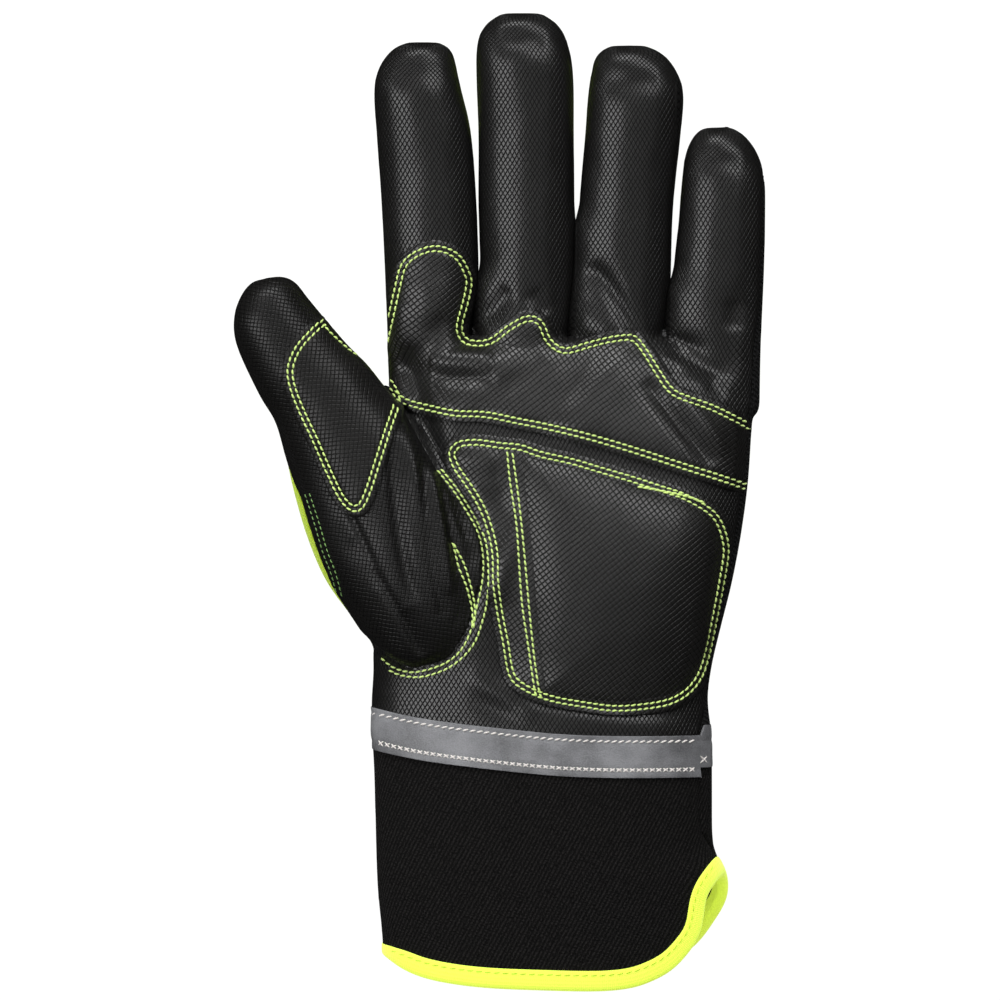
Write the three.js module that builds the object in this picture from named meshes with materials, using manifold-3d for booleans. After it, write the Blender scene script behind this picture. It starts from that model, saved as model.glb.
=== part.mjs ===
import * as THREE from 'three';
import { mergeVertices } from 'three/addons/utils/BufferGeometryUtils.js';
import Module from 'manifold-3d';

// Insulated mechanic glove for the left hand, lying on its back with the palm up.
// Millimetres. +Y runs from the cuff to the fingertips, the thumb points to -X, +Z is up.
// One rounded body is lofted from the tables below, hollowed, and parted along its seams.

const wasm = await Module();
wasm.setup();

// Driving dimensions
const GAP = 0.3;            // left open between neighbouring pieces
const PATCH = 1.1;          // leather sewn on the palm
const PAD = 2.6;            // padded panel at the heel of the hand
const TAPE = 0.7;           // reflective band
const BINDING = 0.8;        // folded binding, each leg
const BINDING_WIDTH = 5.2;
const FINGER_WALL = 3;
const OPEN_END = -8;        // the loft runs past the hem and is trimmed to it
const FINGER_ROOT = 165;    // the finger tubes start inside the palm
const FINGER_BASE = 0.4;    // lowest height of a finger's back
const BACK_SAG = 6;         // how far an unflattened back would hang below the surface
const FINGER_POWER = 2.2;   // roundness of a finger's section: 2 is an ellipse
const PATCH_EDGE = 2;       // the patches stop this far above the side seam
const THINNEST = 0.5;       // least half width of a hollow's closed end

// Hand and cuff: side edges, top, side seam, flattened back and wall, row by row from the hem
const HAND = [
  { y: OPEN_END, left: -50.2, right: 42.6, top: 43, seam: 20.5, base: 1.2, wall: 2, power: 2.3 },
  { y: 14, left: -51.2, right: 43.3, top: 42.8, seam: 20.5, base: 1.2, wall: 2, power: 2.3 },
  { y: 24, left: -52.2, right: 43.5, top: 42.4, seam: 20.2, base: 1.2, wall: 2, power: 2.3 },
  { y: 34, left: -52.8, right: 43.7, top: 42, seam: 20, base: 1.2, wall: 2, power: 2.3 },
  { y: 62, left: -53.6, right: 43.8, top: 39.6, seam: 19, base: 1.2, wall: 2, power: 2.3 },
  { y: 72, left: -54.2, right: 43.6, top: 38.8, seam: 18.5, base: 1.2, wall: 2.6, power: 2.3 },
  { y: 82, left: -54.3, right: 42.6, top: 38, seam: 18, base: 1.2, wall: 3, power: 2.3 },
  { y: 92, left: -53.8, right: 43.8, top: 38, seam: 17.5, base: 0, wall: 3, power: 2.3 },
  { y: 104, left: -54.5, right: 46.6, top: 38.4, seam: 17, base: 0, wall: 3, power: 2.4 },
  { y: 116, left: -54.5, right: 49.6, top: 38.6, seam: 16.5, base: 0, wall: 3, power: 2.4 },
  { y: 130, left: -53.5, right: 52.3, top: 37.6, seam: 16, base: 0, wall: 3, power: 2.4 },
  { y: 144, left: -52, right: 54.2, top: 35.6, seam: 15, base: 0, wall: 3, power: 2.5 },
  { y: 158, left: -50.4, right: 55.2, top: 33, seam: 14, base: 0, wall: 3, power: 2.6 },
  { y: 170, left: -49.4, right: 56, top: 30, seam: 13, base: 0, wall: 3, power: 2.7 },
  { y: 178, left: -48.6, right: 56, top: 27.4, seam: 12.5, base: 0, wall: 3, power: 2.7 },
  { y: 183, left: -46.5, right: 54, top: 24, seam: 12, base: 1.5, wall: 3, power: 2.6 },
  { y: 186, left: -43.5, right: 51, top: 19, seam: 12, base: 4, wall: 3, power: 2.4 },
];

// Fingers: middle line, half width and half depth, from the root to the tip
const FINGERS = {
  index: [
    { y: FINGER_ROOT, x: -36.2, half: 12.8, depth: 12.4 },
    { y: 185, x: -36.5, half: 12.9, depth: 12.3 },
    { y: 205, x: -36.9, half: 13.2, depth: 12.1 },
    { y: 225, x: -37.7, half: 13.4, depth: 11.9 },
    { y: 245, x: -39.0, half: 13.1, depth: 11.5 },
    { y: 257, x: -40.7, half: 12.3, depth: 10.8 },
    { y: 263, x: -40.6, half: 11.2, depth: 9.6 },
    { y: 268, x: -39.9, half: 8.4, depth: 7 },
    { y: 270.8, x: -39.2, half: 4, depth: 3.2 },
  ],
  middle: [
    { y: FINGER_ROOT, x: -9.6, half: 12.8, depth: 12.6 },
    { y: 185, x: -9.6, half: 12.9, depth: 12.6 },
    { y: 205, x: -9.3, half: 13.1, depth: 12.4 },
    { y: 225, x: -9.6, half: 13.3, depth: 12.2 },
    { y: 245, x: -9.7, half: 13.2, depth: 11.9 },
    { y: 262, x: -10.1, half: 13.4, depth: 11.4 },
    { y: 271, x: -10.8, half: 12.4, depth: 10 },
    { y: 275.8, x: -11, half: 9.8, depth: 7.6 },
    { y: 279.3, x: -11, half: 4.4, depth: 3.2 },
  ],
  ring: [
    { y: FINGER_ROOT, x: 17.8, half: 12.9, depth: 12.4 },
    { y: 185, x: 17.9, half: 13, depth: 12.4 },
    { y: 205, x: 18.2, half: 13.1, depth: 12.2 },
    { y: 225, x: 18.8, half: 13.2, depth: 12 },
    { y: 245, x: 20.7, half: 13.4, depth: 11.6 },
    { y: 256, x: 21.5, half: 13.4, depth: 11 },
    { y: 262, x: 21.1, half: 12.1, depth: 9.8 },
    { y: 266.8, x: 19.9, half: 9.6, depth: 7.4 },
    { y: 269.8, x: 19, half: 4.4, depth: 3.2 },
  ],
  little: [
    { y: FINGER_ROOT, x: 44.6, half: 12.4, depth: 12 },
    { y: 185, x: 44.9, half: 12.5, depth: 11.9 },
    { y: 205, x: 45.5, half: 12.8, depth: 11.6 },
    { y: 220, x: 46.4, half: 12.2, depth: 11.2 },
    { y: 232, x: 46.8, half: 11.6, depth: 10.6 },
    { y: 239, x: 46.3, half: 10.1, depth: 9.2 },
    { y: 243.8, x: 45.6, half: 7.2, depth: 6.4 },
    { y: 246.4, x: 45, half: 3.4, depth: 2.8 },
  ],
};

// The fingers' middle height: they rise a little towards the tips
const CURL = [
  { y: FINGER_ROOT, z: 12.2 },
  { y: 205, z: 12 },
  { y: 235, z: 13 },
  { y: 262, z: 15 },
  { y: 282, z: 17 },
];

// Thumb from the heel of the hand to its tip: crest line, reach to each side, depth, and lean
const THUMB = [
  { x: -39, y: 90, z: 20, left: 8.6, right: 16, depth: 13, lean: 8 },
  { x: -41, y: 98, z: 20.5, left: 13.2, right: 23, depth: 17, lean: 12 },
  { x: -43.5, y: 110, z: 21, left: 19.4, right: 30, depth: 19.5, lean: 16 },
  { x: -46.5, y: 124, z: 21, left: 24.2, right: 30, depth: 19.8, lean: 20 },
  { x: -50, y: 138, z: 21, left: 26.2, right: 25, depth: 18.8, lean: 24 },
  { x: -54.5, y: 151, z: 20.5, left: 23.6, right: 20.5, depth: 17.2, lean: 28 },
  { x: -61, y: 162.5, z: 20.5, left: 20.7, right: 17.4, depth: 15.6, lean: 32 },
  { x: -66.6, y: 171.6, z: 20.5, left: 18.1, right: 13.6, depth: 14.2, lean: 33 },
  { x: -73.4, y: 177.8, z: 20.5, left: 15.4, right: 14, depth: 13.2, lean: 33 },
  { x: -82.2, y: 190, z: 21, left: 12.6, right: 12.6, depth: 12, lean: 35 },
  { x: -84.4, y: 196, z: 21.5, left: 11, right: 11, depth: 10.4, lean: 30 },
  { x: -84.6, y: 200.4, z: 22, left: 8, right: 8, depth: 7.4, lean: 20 },
  { x: -84.2, y: 203, z: 22, left: 3.6, right: 3.6, depth: 3.2, lean: 8 },
];

// Folds of the palm side: a ridge, or a valley where the height is negative, along each line
const FOLDS = [
  { x1: -45, y1: 163, x2: -33, y2: 143, width: 6, height: -3 },
  { x1: -31, y1: 139, x2: -22, y2: 120, width: 6, height: -1.4 },
  { x1: -17, y1: 114, x2: -12, y2: 86, width: 5, height: -1.8 },
  { x1: -26, y1: 160, x2: 50, y2: 141, width: 6, height: -1.6 },
  { x1: 30, y1: 172, x2: 41, y2: 156, width: 5, height: -1.5 },
  { x1: -17, y1: 76, x2: 37, y2: 76, width: 6, height: 1 },
  { x1: -46, y1: 184, x2: -37, y2: 170, width: 5, height: -1.6 },
  { x1: -38, y1: 190, x2: -38, y2: 204, width: 7, height: 1.2 },
  { x1: 34, y1: 186, x2: 52, y2: 178, width: 5, height: -1.4 },
  { x1: 2, y1: 96, x2: 24, y2: 122, width: 20, height: 1.8 },
];

// The back of the cuff stands out beside the slit: most at a row, from just above the side seam down
const FLARE = { y: 26, reach: 12, amount: 5.2, from: 0.2, over: 0.4 };

// The slit at the little finger's side, seen from that side: half its opening at each row
const SLIT_APEX = 33;
const SLIT = [
  { y: 31, half: 1.8 },
  { y: 24, half: 4.4 },
  { y: 14, half: 8.6 },
  { y: 6, half: 12 },
  { y: -14, half: 13 },
];
const SLIT_HEIGHT = 20;
const SLIT_FROM = 24;

// The hem, seen from above
const HEM = [[-64, 30], [-50.6, 13.4], [-46.4, 6.8], [-38, 3.4], [-24, 1], [-6, 0.2], [13, 0.2],
  [24, 1.8], [32, 5.2], [38.6, 11.2], [43.2, 15.4], [46.6, 20.6], [52, 36]];

// Where leather meets cuff, along the middle of the reflective band
const BAND_LINE = [[-70, 77], [-54.2, 74], [-37.4, 70.7], [-8.6, 67.4], [11.5, 66.2], [39.7, 66],
  [64, 66]];
const BAND_WIDTH = 11.8;

// Outlines of the sewn pieces, seen from above
const PALM_PATCH = [[-56, 170], [-47.2, 168.6], [-35.6, 166.2], [-20.7, 164.7], [-6, 161.6], [8.6, 158.7],
  [23.3, 154.4], [37.9, 148.1], [52.6, 143.6], [62, 141], [64, 158], [52.6, 163.3], [37.9, 168.8],
  [31.5, 171.6], [26.8, 179], [22.6, 186], [12.9, 186], [1.5, 182.4], [-3.4, 185.6], [-7.6, 192.6],
  [-15, 190], [-21.5, 185.2], [-28.4, 185.6], [-26.3, 196], [-25.6, 204.5], [-30, 211], [-37.1, 212.4],
  [-43, 209.6], [-46.6, 202], [-48.4, 192], [-49.4, 180], [-58, 178]];
const HEEL_PATCH = [[-31.9, 152], [-29.3, 156.2], [-17, 156], [-5.2, 153.2], [12.4, 148.6], [29.9, 143.2],
  [41.7, 138.3], [47.6, 131.4], [48.6, 121.3], [45.4, 103.8], [41.6, 89], [36, 83], [24.1, 79.6],
  [6.6, 80.2], [-9.2, 84.5], [-15, 90], [-17, 102], [-19.4, 118], [-21.4, 131.5], [-27, 143.2]];
const HEEL_PAD = [[-11.6, 151], [12, 145.2], [29, 140], [40, 135.4], [44.4, 130], [45.2, 121], [42, 104.5],
  [38.6, 91.4], [34, 86], [23.6, 82.8], [7, 83.4], [-3.6, 85.6], [-6.6, 98], [-8.2, 112], [-10, 132]];
const THUMB_PATCH = [[-67.8, 191.7], [-73.3, 186.6], [-77.6, 181.4], [-78.9, 175.5], [-74.8, 164.2],
  [-67.3, 147.5], [-62, 137.4], [-58.4, 135.6], [-55.4, 137.6], [-51.2, 150.6], [-47.2, 166],
  [-50.5, 176], [-56, 186], [-62, 191]];
const GUSSET = [[-46.6, 169.6], [-41.7, 161], [-35.6, 150.4], [-29.9, 141.4], [-24.8, 133.4], [-22, 124],
  [-22, 116], [-24.6, 106], [-29, 97], [-35.6, 91.7], [-42, 89.9], [-49, 92], [-56, 97.5], [-72, 106],
  [-110, 140], [-112, 200], [-90, 222], [-66, 206], [-53.6, 183], [-50.6, 175.5], [-48.4, 171.5]];

// Stretch strips between the fingers
const FOURCHETTES = {
  index_middle: [[-36, 177], [-11, 177], [-10, 246], [-39, 246]],
  middle_ring: [[-8, 177], [17, 177], [20, 246], [-8, 246]],
  ring_little: [[19, 177], [44, 177], [46, 226], [20, 226]],
};
const STRIP_HALF = 3.6;

// Heights where the thumb's front meets its back, seen from the side
const THUMB_SEAM = [
  { y: 80, z: 18 },
  { y: 106, z: 21 },
  { y: 118, z: 29 },
  { y: 140, z: 30 },
  { y: 154, z: 24 },
  { y: 166, z: 19 },
  { y: 215, z: 19 },
];

const HAND_SIDES = 32;
const HOLLOW_SIDES = 18;
const FINGER_SIDES = 14;
const FINGER_HOLLOW_SIDES = 10;
const THUMB_SIDES = 18;
const THUMB_HOLLOW_SIDES = 12;
const FAR = 400;

// Colours and finishes
const leather = new THREE.MeshStandardMaterial({ color: 0x1c1c1c, roughness: 0.5, metalness: 0 });
const leatherPatch = new THREE.MeshStandardMaterial({ color: 0x242424, roughness: 0.45, metalness: 0 });
const brightFabric = new THREE.MeshStandardMaterial({ color: 0xd4f50a, roughness: 0.85, metalness: 0 });
const stretchFabric = new THREE.MeshStandardMaterial({ color: 0x161616, roughness: 0.9, metalness: 0 });
const softshell = new THREE.MeshStandardMaterial({ color: 0x141313, roughness: 0.95, metalness: 0 });
const reflective = new THREE.MeshStandardMaterial({ color: 0x919396, roughness: 0.45, metalness: 0.1 });
const brightBinding = new THREE.MeshStandardMaterial({ color: 0xd8ff28, roughness: 0.8, metalness: 0 });

function toManifold(geometry) {
  const bare = geometry.clone();
  bare.deleteAttribute('normal');
  bare.deleteAttribute('uv');
  const merged = mergeVertices(bare, 1e-4);
  return new wasm.Manifold(new wasm.Mesh({
    numProp: 3,
    vertProperties: new Float32Array(merged.attributes.position.array),
    triVerts: new Uint32Array(merged.index.array),
  }));
}

function toGeometry(manifold) {
  const mesh = manifold.getMesh();
  const geometry = new THREE.BufferGeometry();
  geometry.setAttribute('position', new THREE.BufferAttribute(new Float32Array(mesh.vertProperties), 3));
  geometry.setIndex(new THREE.BufferAttribute(new Uint32Array(mesh.triVerts), 1));
  geometry.computeVertexNormals();
  return geometry;
}

// Value of a table's column at a place between its rows
function between(rows, key, place, by = 'y') {
  const ordered = rows[0][by] < rows[rows.length - 1][by] ? rows : [...rows].reverse();
  const last = ordered.length - 1;
  if (place <= ordered[0][by]) return ordered[0][key];
  if (place >= ordered[last][by]) return ordered[last][key];
  const next = ordered.findIndex((row) => row[by] > place);
  const share = (place - ordered[next - 1][by]) / (ordered[next][by] - ordered[next - 1][by]);
  return THREE.MathUtils.lerp(ordered[next - 1][key], ordered[next][key], share);
}

// Height of all folds at a point of the palm side
function foldHeight(x, y) {
  const line = new THREE.Line3();
  const point = new THREE.Vector3(x, y, 0);
  const nearest = new THREE.Vector3();
  return FOLDS.reduce((height, fold) => {
    line.start.set(fold.x1, fold.y1, 0);
    line.end.set(fold.x2, fold.y2, 0);
    line.closestPointToPoint(point, true, nearest);
    return height + fold.height * Math.exp(-((nearest.distanceTo(point) / fold.width) ** 2));
  }, 0);
}

// A closed tube through the rows of a table. place(row, side, up) gives the point of a unit circle
// at (side, up) on that row.
function loft(rows, sides, place) {
  const geometry = new THREE.CylinderGeometry(1, 1, 1, sides, rows.length - 1);
  const position = geometry.attributes.position;
  const point = new THREE.Vector3();
  for (let i = 0; i < position.count; i += 1) {
    const row = rows[Math.round((position.getY(i) + 0.5) * (rows.length - 1))];
    place(row, position.getX(i), position.getZ(i), point);
    position.setXYZ(i, point.x, point.y, point.z);
  }
  return toManifold(geometry);
}

function squared(value, power) {
  return Math.sign(value) * Math.abs(value) ** (2 / power);
}

function raised(point, up) {
  if (up > 0) point.z += foldHeight(point.x, point.y) * Math.sqrt(up);
}

// Hand and cuff, grown by an offset that may differ from row to row
function handTube(offset, sides) {
  return loft(HAND, sides, (row, side, up, point) => {
    const grow = offset(row);
    const half = (row.right - row.left) / 2 + grow;
    const rise = up > 0 ? row.top - row.seam + grow : row.seam + BACK_SAG + grow;
    const endShift = row === HAND[HAND.length - 1] ? grow : 0;
    point.set((row.left + row.right) / 2 + half * squared(side, row.power), row.y + endShift,
      row.seam + rise * squared(up, row.power));
    raised(point, up);
    const flare = Math.exp(-(((row.y - FLARE.y) / FLARE.reach) ** 2)) * FLARE.amount;
    if (up < FLARE.from && side > 0) point.x += flare * side * Math.min(1, (FLARE.from - up) / FLARE.over);
    point.z = Math.max(point.z, row.base - grow);
  });
}

function fingerTube(rows, grow, sides) {
  const tip = rows[rows.length - 1];
  return loft(rows, sides, (row, side, up, point) => {
    const endShift = row === tip ? grow : 0;
    const height = between(CURL, 'z', row.y);
    const depth = Math.max(row.depth + grow, THINNEST);
    const half = Math.max(row.half + grow, THINNEST);
    point.set(row.x + half * squared(side, FINGER_POWER), row.y + endShift,
      height + depth * squared(up, FINGER_POWER));
    raised(point, up);
    point.z = Math.max(point.z, FINGER_BASE - grow);
  });
}

function thumbTube(grow, sides) {
  const tip = THUMB[THUMB.length - 1];
  return loft(THUMB, sides, (row, side, up, point) => {
    const lean = THREE.MathUtils.degToRad(row.lean);
    const reach = Math.max((side < 0 ? row.left : row.right) + grow, THINNEST) * squared(side, FINGER_POWER);
    const depth = Math.max(row.depth + grow, THINNEST);
    const endShift = row === tip ? grow : 0;
    point.set(row.x + reach * Math.cos(lean), row.y + reach * Math.sin(lean) + endShift,
      row.z + depth * squared(up, FINGER_POWER));
    raised(point, up);
  });
}

// The whole glove as one filled body, grown by a distance
function filled(grow) {
  return Object.values(FINGERS).reduce(
    (body, rows) => body.add(fingerTube(rows, grow, FINGER_SIDES)),
    handTube(() => grow, HAND_SIDES).add(thumbTube(grow, THUMB_SIDES)),
  );
}

// Its inside, a distance under the lining
function hollow(deeper) {
  return Object.values(FINGERS).reduce(
    (body, rows) => body.add(fingerTube(rows, -FINGER_WALL - deeper, FINGER_HOLLOW_SIDES)),
    handTube((row) => -row.wall - deeper, HOLLOW_SIDES)
      .add(thumbTube(-FINGER_WALL - deeper, THUMB_HOLLOW_SIDES)),
  );
}

// Smooth closed line through an outline's corners, moved outwards by a distance
function smoothOutline(corners, moved = 0, steps = 2) {
  const corners3d = corners.map(([x, y]) => new THREE.Vector3(x, y, 0));
  const curve = new THREE.CatmullRomCurve3(corners3d, true, 'centripetal');
  const points = curve.getPoints(corners.length * steps).slice(0, -1);
  return movedOutline(points.map((point) => new THREE.Vector2(point.x, point.y)), moved);
}

function movedOutline(points, moved) {
  const turn = THREE.ShapeUtils.area(points) > 0 ? 1 : -1;
  return points.map((point, i) => {
    const before = points[(i + points.length - 1) % points.length];
    const after = points[(i + 1) % points.length];
    const normal = new THREE.Vector2(after.y - before.y, before.x - after.x).normalize();
    return point.clone().addScaledVector(normal, moved * turn);
  });
}

// A prism of an outline seen from above, between two heights
function fromAbove(points, low = -FAR, high = FAR) {
  const geometry = new THREE.ExtrudeGeometry(new THREE.Shape(points), {
    depth: high - low, bevelEnabled: false, curveSegments: 1,
  });
  geometry.translate(0, 0, low);
  return toManifold(geometry);
}

// A prism of an outline of (y, z) points seen from the little finger's side, between two x
function fromSide(points, low = -FAR, high = FAR) {
  const geometry = new THREE.ExtrudeGeometry(new THREE.Shape(points), {
    depth: high - low, bevelEnabled: false, curveSegments: 1,
  });
  geometry.translate(0, 0, low);
  geometry.applyMatrix4(new THREE.Matrix4().set(0, 0, 1, 0, 1, 0, 0, 0, 0, 1, 0, 0, 0, 0, 0, 1));
  return toManifold(geometry);
}

// Everything above a line of heights along Y
function above(rows, key, shift) {
  const edge = rows.map((row) => new THREE.Vector2(row.y, row[key] + shift));
  const first = edge[0];
  const last = edge[edge.length - 1];
  return fromSide([
    new THREE.Vector2(-FAR, first.y), ...edge, new THREE.Vector2(FAR, last.y),
    new THREE.Vector2(FAR, FAR), new THREE.Vector2(-FAR, FAR),
  ]);
}

// Everything on the fingers' side of a line across the glove
function beyond(line, inset) {
  const edge = line.map(([x, y]) => new THREE.Vector2(x, y));
  const first = edge[0];
  const last = edge[edge.length - 1];
  return fromAbove(movedOutline([
    new THREE.Vector2(-FAR, first.y), ...edge, new THREE.Vector2(FAR, last.y),
    new THREE.Vector2(FAR, FAR), new THREE.Vector2(-FAR, FAR),
  ], -inset));
}

// What is left of the cuff inside its hem and slit, with an edge of some width taken off
function insideHem(inset) {
  const upperEdge = SLIT.map((row) => new THREE.Vector2(row.y, SLIT_HEIGHT + row.half));
  const lowerEdge = SLIT.map((row) => new THREE.Vector2(row.y, SLIT_HEIGHT - row.half)).reverse();
  const apex = new THREE.Vector2(SLIT_APEX, SLIT_HEIGHT);
  const opening = movedOutline([apex, ...upperEdge, ...lowerEdge], inset);
  return beyond(HEM, inset).subtract(fromSide(opening, SLIT_FROM, FAR));
}

const pieces = {};
const split = GAP / 2;
const SEAM = HAND.slice(1).map((row) => ({ y: row.y, z: row.seam }))
  .concat(CURL.slice(1).map((row) => ({ y: row.y, z: row.z })));

const shell = filled(0).subtract(hollow(0));
const upper = above(SEAM, 'z', split);
const lower = above(SEAM, 'z', -split);

// The thumb's back reaches up its outer side only
const crest = THUMB.map((row) => new THREE.Vector2(row.x, row.y));
const innerSide = fromAbove([
  new THREE.Vector2(crest[0].x, -FAR), ...crest, new THREE.Vector2(crest[crest.length - 1].x, FAR),
  new THREE.Vector2(FAR, FAR), new THREE.Vector2(FAR, -FAR),
]);
const thumbAbove = (shift) => above(THUMB_SEAM, 'z', shift)
  .add(above(SEAM, 'z', shift).intersect(innerSide));
const handSide = beyond(BAND_LINE, split);
const cuffSide = beyond(BAND_LINE, -split);
const gussetOuter = fromAbove(smoothOutline(GUSSET, split, 1));
const gussetInner = fromAbove(smoothOutline(GUSSET, -split, 1));

// Strips between the fingers, and the room that they take from front and back
const stripZone = (outline, margin) => fromAbove(
  movedOutline(outline.map(([x, y]) => new THREE.Vector2(x, y)), margin),
).intersect(above(SEAM, 'z', -STRIP_HALF - margin)).subtract(above(SEAM, 'z', STRIP_HALF + margin));
const strips = Object.entries(FOURCHETTES).map(([name, outline]) => ({
  name: `fourchette_${name}`,
  solid: shell.intersect(stripZone(outline, 0)),
}));
const stripRoom = Object.values(FOURCHETTES).map((outline) => stripZone(outline, GAP))
  .reduce((all, zone) => all.add(zone));

const hand = shell.intersect(handSide).subtract(gussetOuter).subtract(stripRoom);
pieces.palm_panel = [hand.intersect(upper), leather];
pieces.back_panel = [hand.subtract(lower), brightFabric];
strips.forEach(({ name, solid }) => { pieces[name] = [solid, stretchFabric]; });
const thumb = shell.intersect(gussetInner);
pieces.thumb_front = [thumb.intersect(thumbAbove(split)), leather];
pieces.thumb_back = [thumb.subtract(thumbAbove(-split)), brightFabric];

// Sewn-on layers of the palm side
const layer = (thickness) => filled(GAP + thickness).subtract(filled(GAP))
  .intersect(above(SEAM, 'z', PATCH_EDGE));
const sewn = layer(PATCH);
const heelPad = fromAbove(smoothOutline(HEEL_PAD));
const heelPadRoom = fromAbove(smoothOutline(HEEL_PAD, GAP));
const sewnPiece = (outline, steps) => sewn
  .intersect(fromAbove(smoothOutline(outline, 0, steps)));
pieces.palm_patch = [sewnPiece(PALM_PATCH, 1).subtract(gussetOuter), leatherPatch];
pieces.thumb_patch = [sewnPiece(THUMB_PATCH, 2).intersect(gussetInner), leatherPatch];
pieces.heel_patch = [sewnPiece(HEEL_PATCH, 2).subtract(heelPadRoom), leatherPatch];
pieces.heel_pad = [layer(PAD).intersect(heelPad), leatherPatch];

// Cuff, reflective band and hem binding
const cuff = shell.intersect(insideHem(0)).subtract(cuffSide);
pieces.cuff_front = [cuff.intersect(upper), softshell];
pieces.cuff_back = [cuff.subtract(lower), softshell];
const bandZone = beyond(BAND_LINE, -BAND_WIDTH / 2).subtract(beyond(BAND_LINE, BAND_WIDTH / 2));
const band = filled(GAP + TAPE).subtract(filled(GAP)).intersect(bandZone);
pieces.reflective_band_front = [band.intersect(upper), reflective];
pieces.reflective_band_back = [band.subtract(lower), reflective];
const bindingReach = GAP + BINDING;
const edge = insideHem(-bindingReach).subtract(insideHem(BINDING_WIDTH));
const bindingCore = filled(GAP).subtract(hollow(GAP)).intersect(insideHem(-GAP));
pieces.hem_binding = [
  filled(bindingReach).subtract(hollow(bindingReach)).intersect(edge).subtract(bindingCore),
  brightBinding,
];

// The origin is the middle of the whole glove, on the surface that it lies on
const glove = new THREE.Group();
Object.entries(pieces).forEach(([name, [solid, material]]) => {
  const mesh = new THREE.Mesh(toGeometry(solid), material);
  mesh.name = name;
  glove.add(mesh);
});
const box = new THREE.Box3().setFromObject(glove);
const middle = box.getCenter(new THREE.Vector3());
glove.position.set(-middle.x, -middle.y, -box.min.z);

export default glove;
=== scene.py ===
import functools
import math

import bmesh
import bpy
import numpy as np
from bpy.props import FloatProperty, FloatVectorProperty, IntProperty, PointerProperty
from mathutils import Matrix, Vector, noise
from mathutils.bvhtree import BVHTree


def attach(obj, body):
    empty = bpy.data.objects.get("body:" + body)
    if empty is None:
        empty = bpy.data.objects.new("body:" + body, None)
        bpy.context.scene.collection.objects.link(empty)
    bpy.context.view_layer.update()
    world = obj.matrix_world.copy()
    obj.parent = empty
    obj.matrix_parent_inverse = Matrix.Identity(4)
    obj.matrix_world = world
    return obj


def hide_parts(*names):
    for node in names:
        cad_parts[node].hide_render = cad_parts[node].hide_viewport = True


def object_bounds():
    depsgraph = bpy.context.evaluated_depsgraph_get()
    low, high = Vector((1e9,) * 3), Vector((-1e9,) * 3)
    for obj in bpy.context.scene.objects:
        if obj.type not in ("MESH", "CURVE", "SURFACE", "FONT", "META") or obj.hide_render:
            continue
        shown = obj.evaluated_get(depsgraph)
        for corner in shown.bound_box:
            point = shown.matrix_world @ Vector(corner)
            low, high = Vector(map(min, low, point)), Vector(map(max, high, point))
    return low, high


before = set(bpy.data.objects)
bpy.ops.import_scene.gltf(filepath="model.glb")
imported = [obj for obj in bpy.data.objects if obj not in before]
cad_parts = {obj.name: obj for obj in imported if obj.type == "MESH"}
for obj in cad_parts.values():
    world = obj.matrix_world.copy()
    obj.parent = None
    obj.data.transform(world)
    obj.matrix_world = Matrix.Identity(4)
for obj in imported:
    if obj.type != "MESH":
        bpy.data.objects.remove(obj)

bl_info = {
    "name": "Insulated Mechanic Glove",
    "version": (1, 0, 0),
    "blender": (4, 5, 0),
    "location": "3D View > Sidebar > Glove",
    "description": "Builds a padded work glove with sewn grip patches, a slit cuff and a bright hem",
    "category": "Add Mesh",
}

# The glove is drawn in millimetres: +Y runs from the hem to the fingertips, the thumb points to -X.
# A finished piece is moved and scaled into the frame, whose lowest corner matches the drawing's.
MM = 0.001
CAD_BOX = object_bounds()
DRAWING_LEFT = -93.787
DRAWING_LOWEST = -0.9
TO_FRAME = Matrix.Translation((
    CAD_BOX[0][0] - DRAWING_LEFT * MM, CAD_BOX[0][1] - DRAWING_LOWEST * MM, 0,
)) @ Matrix.Scale(MM, 4)


def table(columns, *rows):
    """A short table as arrays, one for each named column."""
    return {name: np.array(values, float) for name, values in zip(columns.split(), zip(*rows))}


# Hand and cuff: side edges, top, side seam, flattened back and roundness, row by row from the hem
HAND = table(
    "y left right top seam base power",
    (-8, -50.2, 42.6, 43.0, 20.5, 1.2, 2.3),
    (14, -51.2, 43.3, 42.8, 20.5, 1.2, 2.3),
    (24, -52.2, 43.5, 42.4, 20.2, 1.2, 2.3),
    (34, -52.8, 43.7, 42.0, 20.0, 1.2, 2.3),
    (62, -53.6, 43.8, 39.6, 19.0, 1.2, 2.3),
    (72, -54.2, 43.6, 38.8, 18.5, 1.0, 2.3),
    (82, -54.3, 42.6, 38.0, 18.0, 0.6, 2.3),
    (92, -53.8, 43.8, 38.0, 17.5, 0.2, 2.3),
    (104, -54.5, 46.6, 38.4, 17.0, 0, 2.4),
    (116, -54.5, 49.6, 38.6, 16.5, 0, 2.4),
    (130, -53.5, 52.3, 37.6, 16.0, 0, 2.4),
    (144, -52.0, 54.2, 35.6, 15.0, 0, 2.5),
    (158, -50.4, 55.2, 33.0, 14.0, 0, 2.6),
    (170, -49.4, 56.0, 30.0, 13.0, 0, 2.7),
    (178, -48.6, 56.0, 27.4, 12.5, 0, 2.7),
    (183, -46.5, 54.0, 24.0, 12.0, 1.5, 2.6),
    (186, -43.5, 51.0, 19.0, 12.0, 4.0, 2.4),
)

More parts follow.
